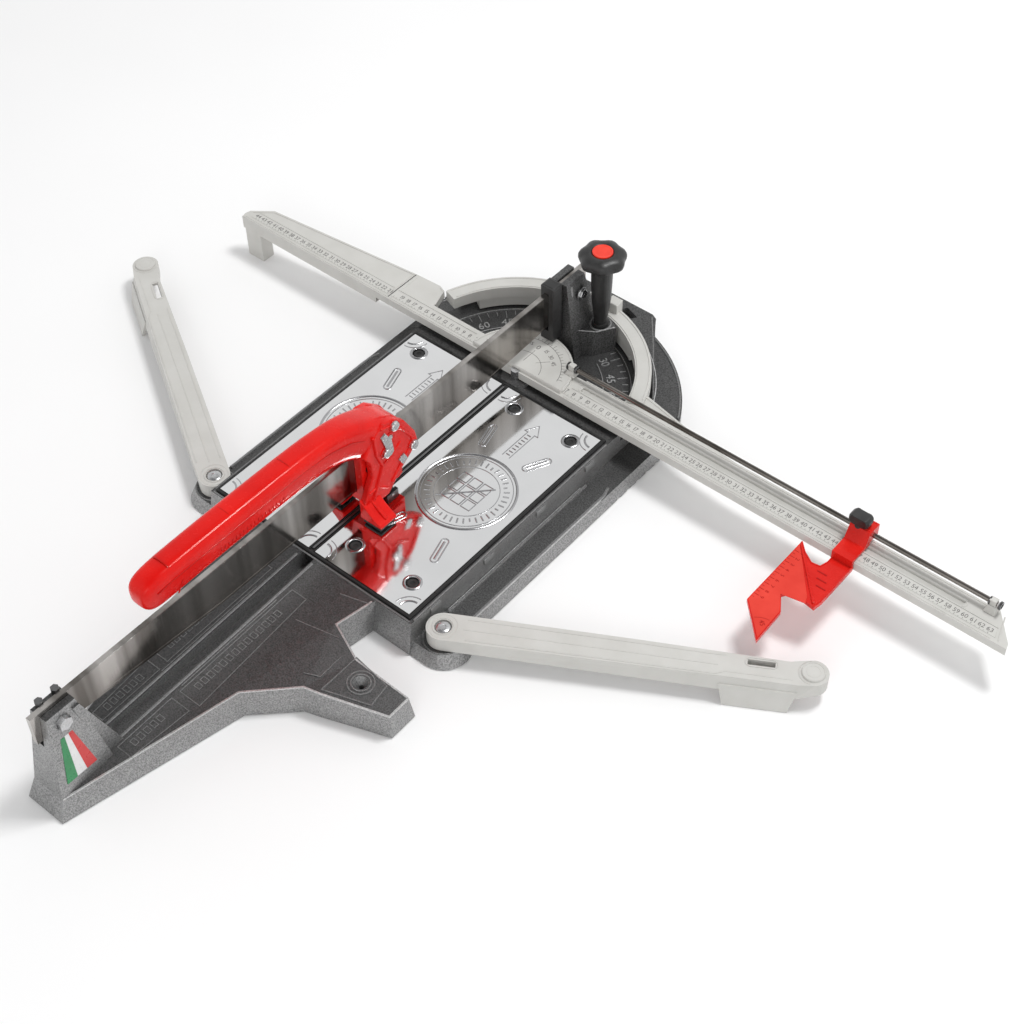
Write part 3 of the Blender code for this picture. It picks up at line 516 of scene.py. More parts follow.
def nose_details():
    ribs = Shape()
    for side in (-1, 1):
        ribs.strip([(side * 11.5, -655), (side * 11.5, -361)], 3.0, nose_top, 1.3)
        ribs.strip([(side * 15, -560), (side * 15, -420)], 1.2, nose_top, 0.5)
    right = [(18, -652), (18, -577), (44, -577), (38, -652)]
    middle = [(19, -566), (19, -400), (40, -400), (48, -566)]
    left = [(-18, -640), (-18, -560), (-38, -560), (-33, -640)]
    rear = [(-19, -548), (-19, -392), (-52, -392), (-48, -548)]
    for frame_line in (right, middle, left, rear):
        ribs.strip(frame_line, 1.0, nose_top, 0.55, closed=True)
    for x, y0, y1 in ((27, -640, -590), (29, -552, -418), (-27, -628, -572), (-33, -534, -408)):
        for i in range(int((y1 - y0) / 9)):
            y = y0 + 9 * i
            tile = [(x - 4, y), (x + 4, y), (x + 4, y + 5.5), (x - 4, y + 5.5)]
            ribs.strip(tile, 0.8, nose_top, 0.45, closed=True)
    ribs.strip([(50, -426), (102, -415)], 1.0, nose_top, 0.5)
    ribs.strip([(64, -372), (97, -363)], 1.2, nose_top, 0.7)
    ribs.strip([(132, -473), (132, -420), (180, -426), (184, -454)], 1.4, nose_top, 0.9, closed=True)
    ribs.strip([(104, -470), (120, -462), (119, -425)], 1.0, nose_top, 0.5)
    for radius, width in ((14.5, 1.6), (10.5, 1.6)):
        ribs.strip(circle(157, -440.5, radius), width, nose_top, 1.1, closed=True)
    ribs.piece("nose_ribs", "bed", "hammered_side")
    # bright strips along the nose's edges: worn metal and painted highlight
    edge = Shape()
    right_line = [(20.4, -727.6), (67.6, -529), (115.6, -482.4), (134, -477.6), (207, -452), (206.5, -423),
                  (134, -422.6), (88, -404), (98, -359)]
    left_line = [(-20.4, -727.6), (-67.6, -529), (-99, -357)]
    for line in (right_line, left_line):
        edge.strip(line, 2.4, lambda x, y: nose_top(x, y) - 0.5, 1.0, crown=0.7)
    edge.piece("nose_edge", "bed", "worn_and_highlight")


def frame_details():
    ribs = Shape()
    for side in (-1, 1):
        x = side * 181.5
        ribs.strip([(x, -300), (x, -62), (side * 178, -50)], 3.6, LEDGE_TOP, 2.2)
        ribs.strip([(side * 155.5, -302), (side * 155.5, -62)], 3.0, LEDGE_TOP, 1.6)
        ribs.strip([(side * 160, -306), (side * 180, -306)], 2.0, LEDGE_TOP, 1.2)
        ribs.strip([(side * 149.7, -350), (side * 149.7, -18)], 2.2, FRAME_TOP, 0.9)
        for y in (-318, -230, -140, -52):
            ribs.strip([(side * 151.8, y - 8), (side * 151.8, y + 8)], 3.2, 38, 6)
        ribs.strip(circle(side * 174, -331, 22.6), 1.6, 17.6, 0.9, closed=True)
    ribs.strip([(-148, -354.2), (148, -354.2)], 2.0, FRAME_TOP, 0.9)
    ribs.piece("frame_ribs", "bed", "hammered_side")
    dial = Shape()
    dial.strip(arc(0, 0, 137.5, 8, 172, 48), 1.3, DIAL_FLOOR, 0.8)
    dial.strip(arc(0, 0, 104, 10, 60, 20), 1.6, DIAL_FLOOR, 1.8)
    dial.strip(arc(0, 0, 104, 120, 170, 20), 1.6, DIAL_FLOOR, 1.8)
    for degree in range(10, 171, 5):
        if 66 < degree < 112:
            continue
        inner = 127 if degree % 15 else 122
        a, b = (arc(0, 0, r, degree, degree + 1, 1)[0] for r in (inner, 134))
        dial.strip([a, b], 1.0, DIAL_FLOOR, 0.7)
    for figure, degree in (("45", 45), ("30", 60), ("45", 135), ("30", 120), ("60", 30), ("60", 150),
                           ("15", 105)):
        x, y = arc(0, 0, 114, degree, degree + 1, 1)[0]
        dial.digits(figure, x, y, DIAL_FLOOR, 15, radians(degree - 90), thick=1.0)
    dial.strip(arc(0, 0, 166.5, 12, 168, 60), 1.4, FRAME_TOP, 0.8)
    dial.piece("turntable_dial", "bed", "worn_and_highlight")
    # bright lips along the ledges: painted highlight on their edges, partly wear
    lip = Shape()
    for side in (-1, 1):
        for x in (153.4, 183.2):
            lip.strip([(side * x, -300), (side * x, -70)], 1.2, LEDGE_TOP, 1.6)
    lip.piece("ledge_lips", "bed", "worn_and_highlight")
    rim = Shape()
    rim.strip(arc(0, 0, 196.4, 27, 153, 60), 2.4, 19.8, 1.4)
    for side in (1, -1):
        rim.strip([(side * 60, 190), (side * 90, 152), (side * 146, 77)], 1.6, FRAME_TOP, 0.7)
    rim.piece("platform_rim", "bed", "hammered_side")


def gasket_details():
    lips = Shape()
    for side in (-1, 1):
        x = side * 144.6
        lips.strip([(x, -350), (x, -17)], 2.0, SEAL_TOP, 0.9)
        for y in (-300, -214, -128, -60):
            lips.strip([(x, y - 9), (x, y + 9)], 3.4, SEAL_TOP, 1.3)
        lips.strip([(side * 3.2, -349), (side * 3.2, -18)], 1.6, SEAL_TOP, 1.7)
    for y in (-350.8, -16.6):
        lips.strip([(-144, y), (144, y)], 2.0, SEAL_TOP, 0.9)
    for x in (-100, -40, 40, 100):
        lips.strip([(x - 12, -15.9), (x + 12, -15.9)], 2.6, 48.5, 1.6)
    lips.piece("gasket_lips", "bed", "rubber")


def post_details():
    """The clevis on the nose: a skirt at its foot and a plain three-colour label."""
    cheek = Shape()
    for side in (-1, 1):
        cheek.skin([[(side * 18.6, -717.5, 42), (side * 18.9, -717.5, 40), (side * 19.9, -717.5, 40),
                     (side * 19.6, -717.5, 42)],
                    [(side * 18.4, -670.5, 42), (side * 18.9, -670.5, 40), (side * 19.9, -670.5, 40),
                     (side * 19.4, -670.5, 42)]])
    cheek.piece("post_skirt", "bed", "hammered_side")
    label = Shape()
    low, high = (20.45, 42.0), (13.95, 104.0)

    def on_cheek(along, up):
        """A point on the right cheek: up is 0 at the label's foot and 1 at its head."""
        x = low[0] + (high[0] - low[0]) * up + 0.12
        z = low[1] + (high[1] - low[1]) * up
        front, rear = -722 + 8.5 * up, -672 - 8.0 * up
        return x, front + (rear - front) * along, z

    def patch(shape, corners, lift):
        inner = [on_cheek(*c) for c in corners]
        shape.skin([[(x - 0.8, y, z) for x, y, z in inner],
                    [(x + lift, y, z + lift * 0.1) for x, y, z in inner]])

    patch(label, [(0.10, 0.0), (0.86, 0.0), (0.66, 0.95), (0.22, 0.95)], 0.25)
    label.piece("post_label", "bed", "label")
    for word, near, far in (("green", 0.0, 0.34), ("red", 0.66, 1.0)):
        band = Shape()
        foot = [0.10 + 0.76 * share for share in (near, far)]
        crown = [0.22 + 0.44 * share for share in (near, far)]
        patch(band, [(foot[0], 0.0), (foot[1], 0.0), (crown[1], 0.95), (crown[0], 0.95)], 0.42)
        band.piece("post_label_" + word, "bed", "label_" + word)


# ---- plates

def plate_details():
    for side, word in ((1, "right"), (-1, "left")):
        body = "plate_r" if side > 0 else "plate_l"
        relief = Shape()
        cx, cy, z = side * 75.1, -177.0, PLATE_TOP
        relief.strip(circle(cx, cy, 57.0, 72), 3.2, z, 1.0, closed=True, crown=0.3)
        relief.strip(circle(cx, cy, 52.6, 72), 1.0, z, 0.5, closed=True)
        relief.strip(circle(cx, cy, 37.5, 60), 0.9, z, 0.5, closed=True)
        for i in range(40):
            angle = 360 / 40 * i
            a, b = (arc(cx, cy, r, angle, angle + 1, 1)[0] for r in (41.5, 48.5 if i % 5 else 46.0))
            relief.strip([a, b], 1.9, z, 0.7)
        for row in range(3):
            for column in range(3):
                x, y = cx - 15 + 15 * column, cy - 15 + 15 * row
                tile = [(x + u * 6.2, y + v * 6.2) for u, v in TILE]
                relief.strip(tile, 1.1, z, 0.7, closed=True)
        relief.strip([(cx - 24, cy - 26), (cx + 24, cy + 22)], 1.5, z, 0.95)
        for a, b in (((40.5, -109), (33.5, -82)), ((104.5, -108), (116.5, -84)), ((113, -275), (105.5, -249)),
                     ((35, -275), (43, -249))):
            if side < 0 and a[0] == 104.5:
                a, b = (107.5, -109), (116, -82)
            a, b = (side * a[0], a[1]), (side * b[0], b[1])
            relief.strip(stadium(a, b, 4.4), 1.6, z, 0.9, closed=True, crown=0.4)
            relief.strip([a, b], 3.0, z, 0.5, crown=0.5)
        x = side * 74.5
        relief.strip([(x - 5, -108), (x - 5, -62), (x - 9.5, -62), (x, -47), (x + 9.5, -62), (x + 5, -62),
                      (x + 5, -108)], 1.1, z, 0.55)
        for i in range(8):
            relief.strip([(x - 2.6, -104 + i * 5.4), (x + 2.6, -104 + i * 5.4)], 1.5, z, 0.5)
        for corner_x, corner_y, start in ((139.5, -24, 180), (8.2, -24, 270), (139.5, -345.5, 90),
                                          (8.2, -345.5, 0)):
            if side < 0:
                start = 180 - start - 90
            relief.strip(arc(side * corner_x, corner_y, 19, start, start + 90, 14), 1.2, z, 0.6)
            relief.strip(arc(side * corner_x, corner_y, 13, start, start + 90, 10), 2.4, z, 0.9, crown=0.3)
        for hx in HOLES_X:
            for hy in HOLES_Y:
                relief.lathe(side * hx, hy, [(7.55, z - 2), (7.6, z + 0.3), (8.2, z + 0.95), (9.2, z + 1.0),
                                             (10.6, z + 0.5), (11.5, z - 0.2), (11.0, z - 1)], 40)
        relief.piece("plate_relief_" + word, body, "relief", angle=50)
    plugs = Shape()
    for side in (-1, 1):
        for hx in HOLES_X:
            for hy in HOLES_Y:
                plugs.lathe(side * hx, hy, [(0.2, 48), (0.2, 48.7), (2.0, 48.7), (2.6, 49.6), (5.2, 49.9),
                                            (6.5, 49.2), (6.5, 47.4)], 28)
    plugs.piece("plug_caps", "bed", "rubber")


# ---- lever

def lever_details():
    grip = Shape()
    # y, underside, top and half width at stations along the grip, from its tip to the head
    stations = [(-577.8, 176, 188, 6), (-576.3, 171, 192.5, 11), (-572.5, 166, 197.2, 14.2),
                (-566, 162.6, 200.8, 15.8), (-556, 161.2, 203.2, 16.4), (-540, 162.2, 204.8, 16.8),
                (-500, 163.4, 205.7, 17),
                (-450, 163.6, 205.9, 17), (-400, 163.9, 205.9, 17), (-360, 163.6, 205.6, 17),
                (-330, 160.8, 204.5, 17), (-306, 156, 201.7, 17.4), (-288, 148, 198.0, 18.6),
                (-272, 137, 192.6, 20.3), (-258, 128, 186.5, 21.3), (-246, 124, 180.9, 21.6),
                (-236, 126, 175.4, 21.5), (-227, 130, 168.6, 20.8), (-220, 136, 161.6, 19.0),
                (-215.5, 143, 155, 15.5)]
    rings = []
    for y, low, high, half in stations:
        ring = []
        for i in range(28):
            angle = 2 * pi * i / 28
            c, s = cos(angle), sin(angle)
            power = 0.52 if s > 0 else 0.44
            x = half * abs(c) ** power * (1 if c > 0 else -1) * (1 - 0.10 * max(0, -s))
            z = (low + high) / 2 + (high - low) / 2 * abs(s) ** 0.6 * (1 if s > 0 else -1)
            ring.append((x, y, z))
        rings.append(ring)
    grip.skin(rings)
    grip_piece = grip.piece("lever_grip", "lever", "red", angle=60, smooth=1)
    lines = Shape()
    for side in (-1, 1):
        lines.frame = side_frame(side)
        lines.strip([(-562, 187), (-548, 189.5), (-450, 191.5), (-360, 191.5), (-320, 188.5), (-290, 181),
                     (-272, 171)], 1.4, lambda y, z: 16.1 + max(0, y + 330) * 0.058, 0.9)
        lines.strip([(-548, 171), (-450, 173), (-345, 173), (-318, 168)], 1.2, lambda y, z: 15.6, 1.0)
        lines.strip([(-538, 167), (-530, 181)], 1.3, lambda y, z: 16.0, 0.9)
        for i in range(18):
            y = -478 + 5.2 * i
            lines.strip([(y, 176.5), (y, 181)], 1.3, lambda y, z: 16.55, 0.6)
    lines.frame = Matrix.Identity(4)
    for y in (-540, -455, -370):
        rows = [(x, y, 205.95 - (abs(x) / 11.5) ** 4 * 2.3) for x in (-11, -8, -4, 0, 4, 8, 11)]
        lines.skin([[(x, y - 0.7, z - 0.8), (x, y - 0.5, z - 0.1), (x, y + 0.5, z - 0.1),
                     (x, y + 0.7, z - 0.8)] for x, y, z in rows])
    lines.piece("lever_lines", "lever", "red_line")

    head = Shape()
    cheek = [(-268, 160), (-257, 171), (-245, 176), (-231, 173), (-212, 156), (-197, 129), (-193.5, 113),
             (-206, 100), (-224, 87), (-245, 66), (-283, 66), (-283, 82), (-268, 112), (-270, 134),
             (-278, 146)]
    for side in (-1, 1):
        head.frame = side_frame(side)
        head.prism(cheek, 13.4, 21.8, inset=0.8)
    head.frame = side_frame(1)
    bridge = [(-290, 190), (-262, 186), (-240, 178), (-222, 166), (-214, 156.5), (-222, 156), (-238, 162),
              (-262, 158), (-290, 152)]
    head.prism(bridge, -13.4, 13.4)
    head_piece = head.piece("lever_head", "lever", "red", edge=2.0)
    wings = Shape()
    for side in (-1, 1):
        arc_top = [(side * 14, 84), (side * 20, 79.5), (side * 28, 71), (side * 35, 65.5),
                   (side * 44.4, 60.2), (side * 44.8, 56.6), (side * 14, 56.6)]
        wings.skin([[(x, -285, z) for x, z in arc_top], [(x, -259, z) for x, z in arc_top]])
        rib = [(side * 21, 80), (side * 31, 72), (side * 42, 64.5), (side * 42, 58), (side * 21, 58)]
        wings.skin([[(x, -274, z) for x, z in rib], [(x, -270, z) for x, z in rib]])
    wings.piece("breaker_wings", "lever", "red", edge=1.4)
    ribs = Shape()
    for side in (-1, 1):
        ribs.frame = side_frame(side)
        ribs.strip([(-250, 171), (-236, 166), (-219, 150), (-205, 127), (-203, 116), (-222, 100),
                    (-240, 82)], 3.6, 21.2, 2.2)
        ribs.strip([(-262, 168), (-260, 140), (-252, 118), (-262, 96), (-272, 74)], 4.2, 21.2, 3.0)
        ribs.strip([(-252, 118), (-236, 122), (-222, 132)], 3.2, 21.2, 1.8)
        ribs.strip([(-247, 158), (-236, 152), (-232, 140)], 2.6, 21.2, 1.4)
        ribs.strip([(-276, 92), (-262, 92), (-246, 78)], 2.6, 21.2, 1.8)
        bosses = ((-246, 134, 7.4), (-204, 114, 7.0), (-238, 150, 7.6))
        for y, z, radius in bosses + (((-231, 164, 7.4),) if side > 0 else ()):
            ribs.lathe(y, z, [(radius - 2.6, 20.5), (radius - 2.6, 22.6), (radius - 0.6, 23.0),
                              (radius, 22.2), (radius, 20.5)], 24)
    ribs.piece("lever_head_ribs", "lever", "red", edge=0.5)
    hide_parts("handle_lever")
    bright = Shape()
    bright.frame = side_frame(1)
    for y, z in LEVER_SCREWS:
        bright.lathe(y, z, [(2.4, 23.6), (2.4, 26.4), (3.4, 27.0), (5.4, 26.6), (6.0, 25.6), (6.0, 22.4),
                            (2.4, 22.4)], 28)
    plate = [(-252, 160), (-245, 163), (-236, 147), (-234, 128), (-239, 124), (-246, 138)]
    bright.prism(plate, 22.0, 24.0, inset=0.8)
    bright.prism([(-228, 108), (-219, 112), (-214, 101), (-222, 96)], 22.0, 23.8, inset=0.6)
    bright.frame = side_frame(-1)
    for y, z in LEVER_SCREWS[1:]:
        bright.lathe(y, z, [(0.4, 22.2), (0.4, 25.8), (5.0, 25.4), (5.6, 24.4), (5.6, 22.2)], 6)
    bright.piece("lever_fittings", "lever", "zinc", edge=0.3)
    shoe = Shape()
    for side in (1, -1):
        shoe.frame = side_frame(side)
        shoe.prism([(-275, 86), (-262, 90), (-244, 88), (-222, 84), (-216, 76), (-222, 72.2), (-275, 72.2)],
                   12.2, 16.6, inset=0.6)
    shoe.piece("carriage_skirt", "carriage", "red", edge=0.8)


def side_frame(side):
    """Draws in the rail's plane: x becomes y, y becomes z, and height goes out to one side."""
    if side > 0:
        return Matrix(((0, 0, 1, 0), (1, 0, 0, 0), (0, 1, 0, 0), (0, 0, 0, 1)))
    return Matrix(((0, 0, -1, 0), (1, 0, 0, 0), (0, 1, 0, 0), (0, 0, 0, 1)))


# ---- fence

def fence_details():
    panels = Shape()
    top = FENCE_TOP
    panels.prism([(66, 3.6), (640, 3.6), (636, 15.4), (66, 15.4)], top - 0.3, FENCE_PANEL, inset=0.7)
    panels.prism([(-204, 3.6), (-68, 3.6), (-68, 15.4), (-204, 15.4)], top - 0.3, FENCE_PANEL, inset=0.7)
    for y, width in ((0.3, 1.8), (17.0, 1.3), (29.0, 1.4)):
        panels.strip([(72, y), (594 if y > 20 else 636, y)], width, top, 0.9)
    panels.strip(stadium((84, 23), (590, 23), 5.0), 1.5, top, 0.8, closed=True)
    panels.strip([(-203, 0.3), (-66, 0.3)], 1.8, top, 0.9)
    panels.strip([(-203, 18.0), (-76, 18.0)], 1.3, top, 0.9)
    panels.strip([(78, 36.6), (290, 36.6), (624, 36.6)], 1.8, top, 0.9)
    panels.strip([(-150, 25.5), (-158, 50), (-166, 54)], 1.6, top, 0.9)
    panels.strip([(-201, 52), (-201, 2)], 1.2, top, 0.5)
    panels.strip([(141, 57), (150, 59), (236, 42)], 1.6, top, 0.9)
    panels.strip([(644, 2), (634, 34)], 1.6, top, 0.8)
    for radius in (158.2, 143.6):
        panels.strip(arc(0, 0, radius, 18, 160, 56), 1.6, 67.0, 0.9)
    panels.strip(arc(0, 0, 66.4, 4, 176, 44), 1.6, DISC_TOP, 0.8)
    panels.strip([(-66, 2.2), (66, 2.2)], 1.4, DISC_TOP, 0.8)
    panels.prism([(19.6, 146.6), (37.4, 146.6), (36.4, 160.6), (20.6, 160.6)], 79.6, 80.8, inset=1.2)
    panels.piece("fence_ribs", "fence", "light", edge=0.25)
    scale = Shape()
    for number in range(7, 64):
        scale.digits(str(number), number * 10, 10.0, FENCE_PANEL, 8.0)
    for number in range(7, 20):
        scale.digits(str(number), -number * 10, 10.0, FENCE_PANEL, 8.0)
    for number in range(14, 127):
        tick = 6.2 if number % 2 == 0 else 5.2
        scale.strip([(number * 5, 4.2), (number * 5, tick)], 0.55, FENCE_PANEL, 0.12)
        if number < 41:
            scale.strip([(-number * 5, 4.2), (-number * 5, tick)], 0.55, FENCE_PANEL, 0.12)
    for radius in (30, 54):
        scale.strip(arc(0, 0, radius, 12, 168, 40), 0.6, DISC_TOP, 0.12)
    for degree in range(15, 166, 5):
        outer = 60 if degree % 15 == 0 else 57.5
        a, b = (arc(0, 0, r, degree, degree + 1, 1)[0] for r in (54, outer))
        scale.strip([a, b], 0.55, DISC_TOP, 0.12)
    scale.strip([(0, 14), (0, 36)], 0.6, DISC_TOP, 0.12)
    for figure, degree in (("0", 90), ("15", 105), ("15", 75), ("30", 120), ("30", 60), ("45", 135),
                           ("45", 45)):
        x, y = arc(0, 0, 45 if figure != "0" else 43, degree, degree + 1, 1)[0]
        scale.digits(figure, x, y, DISC_TOP, 7.5 if figure != "0" else 10, radians(degree - 90) * 0.9)
    scale.strip([(-14, 20), (-26, 32)], 0.5, DISC_TOP, 0.12)
    scale.strip([(14, 20), (26, 32)], 0.5, DISC_TOP, 0.12)
    scale.piece("fence_scale", "fence", "ink")
    extension_details()
    clamp = Shape()
    clamp.frame = Matrix(((0, 0, 1, 0), (1, 0, 0, 34), (0, 1, 0, 75), (0, 0, 0, 1)))
    for x0 in (52.0, 613.0):
        clamp.lathe(0, 0, [(3.05, x0), (4.4, x0), (4.9, x0 + 0.6), (4.9, x0 + 1.8), (4.2, x0 + 2.2),
                           (3.05, x0 + 2.2)])
        clamp.lathe(0, 0, [(3.05, x0 + 11.6), (4.6, x0 + 11.6), (5.0, x0 + 12.2), (5.0, x0 + 14.2),
                           (4.4, x0 + 14.8), (3.05, x0 + 14.8)])
    clamp.piece("rod_clips", "fence", "steel_bright")
    feet = Shape()
    for x, low in ((59, 66.1), (618, 62.1)):
        feet.skin([[(x - 7, 27, low), (x + 7, 27, low), (x + 7, 38.6, low), (x - 7, 38.6, low)],
                   [(x - 4.2, 29.2, 72.5), (x + 4.2, 29.2, 72.5), (x + 4.2, 36.4, 72.5),
                    (x - 4.2, 36.4, 72.5)]])
    feet.piece("rod_post_flanks", "fence", "light", edge=0.7)


def extension_details():
    top = FENCE_TOP
    ribs = Shape()
    ribs.prism([(-448, 3.6), (-206.5, 3.6), (-206.5, 15.4), (-446, 14.0)], top - 0.3, FENCE_PANEL, inset=0.7)
    ribs.strip([(-206.5, 0.3), (-454, 0.3)], 1.8, top, 0.9)
    ribs.strip([(-207, 51.5), (-300, 42.0), (-430, 28.6), (-452, 12)], 1.6, top, 0.9)
    ribs.strip([(-208.2, 2), (-208.2, 52)], 1.2, top, 0.6)
    ribs.strip([(-210, 18), (-444, 16.5)], 1.2, top, 0.8)
    ribs.piece("extension_ribs", "fence", "light", edge=0.25)
    scale = Shape()
    for number in range(21, 45):
        scale.digits(str(number), -number * 10, 10.0, FENCE_PANEL, 8.0)
    for number in range(42, 89):
        tick = 6.2 if number % 2 == 0 else 5.2
        scale.strip([(-number * 5, 4.2), (-number * 5, tick)], 0.55, FENCE_PANEL, 0.12)
    scale.piece("extension_scale", "fence", "ink")
    seam = Shape()
    seam.strip([(-205.6, 0.6), (-205.6, 53)], 1.3, top - 0.3, 0.45)
    seam.piece("extension_seam", "fence", "groove")


# ---- stop

def stop_details():
    x0, z = STOP_X, STOP_FACE
    face = Shape()
    face.prism([(x0 - 44.6, -12), (x0 - 44.6, -110.5), (x0 - 7.6, -147), (x0 - 9.2, -103.5), (x0 - 22.3, -83),
                (x0 + 6, -77.2), (x0 + 2, -68)], 55.6, 56.5, inset=0.5)
    face.piece("stop_face", "stop", "red_light")
    folds = Shape()
    folds.strip([(x0 - 44, -9), (x0 - 41, -14), (x0 + 12.4, -72.6)], 3.0, 55.9, 2.0)
    folds.strip([(x0 - 44.6, -8), (x0 - 33.4, -19), (x0 - 20, -27), (x0 - 10, -25.4), (x0 - 7, -15),
                 (x0 - 7, -6)], 1.6, 56.7, 1.4)
    folds.strip([(x0 + 16.8, -7), (x0 + 16.8, -62), (x0 + 14.6, -73)], 1.6, 56.7, 1.6)
    folds.strip([(x0 - 7, 28.5), (x0 + 15, 28.5)], 1.6, 83.6, 1.2)
    folds.strip([(x0 - 7, 42.5), (x0 + 15, 42.5)], 1.6, 83.6, 1.0)
    folds.piece("stop_folds", "stop", "red_plastic", edge=0.3)
    marks = Shape()
    for number in range(1, 10):
        y = -22.5 - 9.6 * (number - 1)
        marks.strip([(x0 - 44.2, y), (x0 - 38.4, y)], 0.8, z, 0.2)
        marks.strip([(x0 - 44.2, y - 4.8), (x0 - 41, y - 4.8)], 0.6, z, 0.2)
        marks.digits(str(number), x0 - 34.4, y, z, 6.2, radians(-90), thick=0.2)
    marks.digits("45", x0 - 14.5, -128, z, 7.5, radians(-45), thick=0.2)
    marks.strip(arc(x0 - 8, -146, 26, 96, 132, 8), 0.6, z, 0.2)
    for i in range(3):
        marks.strip([(x0 - 9 + i * 5, -32 - i * 9), (x0 + 3 + i * 5, -32 - i * 9)], 2.0, 56.95, 0.4)
    marks.piece("stop_marks", "stop", "red_dark")
    wing = Shape()
    cx, cy = x0, 32.0
    outline = [(-11.2, 86.6), (-12.8, 90), (-12.4, 94.6), (-9.4, 97.6), (-3, 97.2), (3, 97.2), (9.4, 97.6),
               (12.4, 94.6), (12.8, 90), (11.2, 86.6), (6, 85.2), (-6, 85.2)]
    wing.skin([[(cx + u * share, cy + off, v) for u, v in outline]
               for share, off in ((0.86, -7.4), (1, -4.6), (1, 4.6), (0.86, 7.4))])
    wing_piece = wing.piece("wing_knob", "thumb_screw", "black", edge=1.2)
    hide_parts("stop_wing_screw")
    collar = Shape()
    collar.lathe(cx, cy, [(2.7, 79.8), (2.7, 84.5), (6.6, 84.5), (7.2, 83.6), (7.2, 81.6), (6.4, 81.0),
                          (2.7, 81.0)])
    collar.piece("wing_knob_collar", "thumb_screw", "black")


# ---- knob

def knob_details():
    cx, cy = KNOB_AXIS

    def lobes(angle, radius):
        """Seven shallow waists that fade out towards the middle."""
        return 1 - 0.085 * (0.5 - 0.5 * cos(7 * angle)) * min(1, max(0, (radius - 13) / 12))

    knob = Shape()
    knob.lathe(cx, cy, [(12.7, 181.0), (13.2, 182.6), (14.6, 183.2), (19, 182.9), (24, 181.4), (27.4, 179.0),
                        (29.1, 175.6), (29.2, 172.6), (28.2, 169.4), (26.2, 167.4), (23.5, 166.6),
                        (13.4, 166.6), (4.2, 166.6), (4.2, 181.0)], 126, lobes)
    knob_piece = knob.piece("knob_body", "lock", "black", angle=50)
    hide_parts("lock_knob")
    ribs = Shape()
    ribs.lathe(cx, cy, [(13.2, 160.5), (14.4, 161.2), (14.6, 164.0), (13.2, 164.5)], 40)
    ribs.lathe(cx, cy, [(6.8, 71.5), (9.4, 71.6), (10.2, 73.4), (9.6, 76.5), (7.6, 76.5)], 40)
    ribs.piece("sleeve_rings", "lock", "black")
    cap = Shape()
    cap.lathe(cx, cy, [(0.3, 183.4), (9.4, 183.5), (10.2, 183.9), (11.4, 183.9), (12.0, 183.3), (11.6, 182.9),
                       (0.3, 182.9)], 48)
    cap.piece("cap_rim", "lock", "cap")


# ---- swing arms

def arm_details():
    for word, sign in (("right", 1), ("left", -1)):
        turn = ARM_SWING[word]
        flip = Matrix.Scale(sign, 4, Vector((0, 1, 0)))
        place = Matrix.Translation((sign * PIVOT.x, PIVOT.y, 0)) @ Matrix.Rotation(turn, 4, "Z") @ flip
        ribs = Shape()
        ribs.frame = place
        top = ARM_TOP
        ribs.strip([(22, -1), (200, -3), (292, -4.5)], 1.1, top, 0.45)
        ribs.strip([(24, 12.5), (200, 10.4), (292, 8.6), (300, 9.5)], 1.0, top, 0.45)
        ribs.strip([(26, -15), (290, -16.5), (300, -12)], 1.2, top, 0.6)
        ribs.strip([(300, -12), (370, -12.5)], 1.0, top, 0.4)
        ribs.strip(stadium((325, 4), (348, 4), 5.6), 1.1, top, 0.7, closed=True)
        ribs.strip(circle(0, 0, 11.2), 1.6, top, 0.8, closed=True)
        ribs.strip(circle(0, 0, 16.0, 48), 1.0, top, 0.4, closed=True)
        ribs.strip(circle(390.5, 0, 11.6), 1.2, top + 2.0, 0.6, closed=True)
        ribs.strip(circle(390.5, 0, 7.4, 32), 0.9, top + 2.0, 0.4, closed=True)
        ribs.strip(arc(390.5, 0, 15.4, 100, 262, 20), 1.0, top, 0.5)
        ribs.piece("arm_ribs_" + word, "arm_" + word[0], "light")
        slot_line = Shape()
        slot_line.frame = place
        slot_line.lathe(0, 0, [(2.6, 35.2), (3.4, 36.2), (7.2, 36.1), (8.3, 35.3), (8.0, 34.6),
                               (2.6, 34.0)], 36)
        slot_line.strip([(-5.2, 0), (5.2, 0)], 1.8, 34.9, 0.35)
        slot_line.piece("arm_screw_face_" + word, "bed", "zinc")


# ---- rail and tower

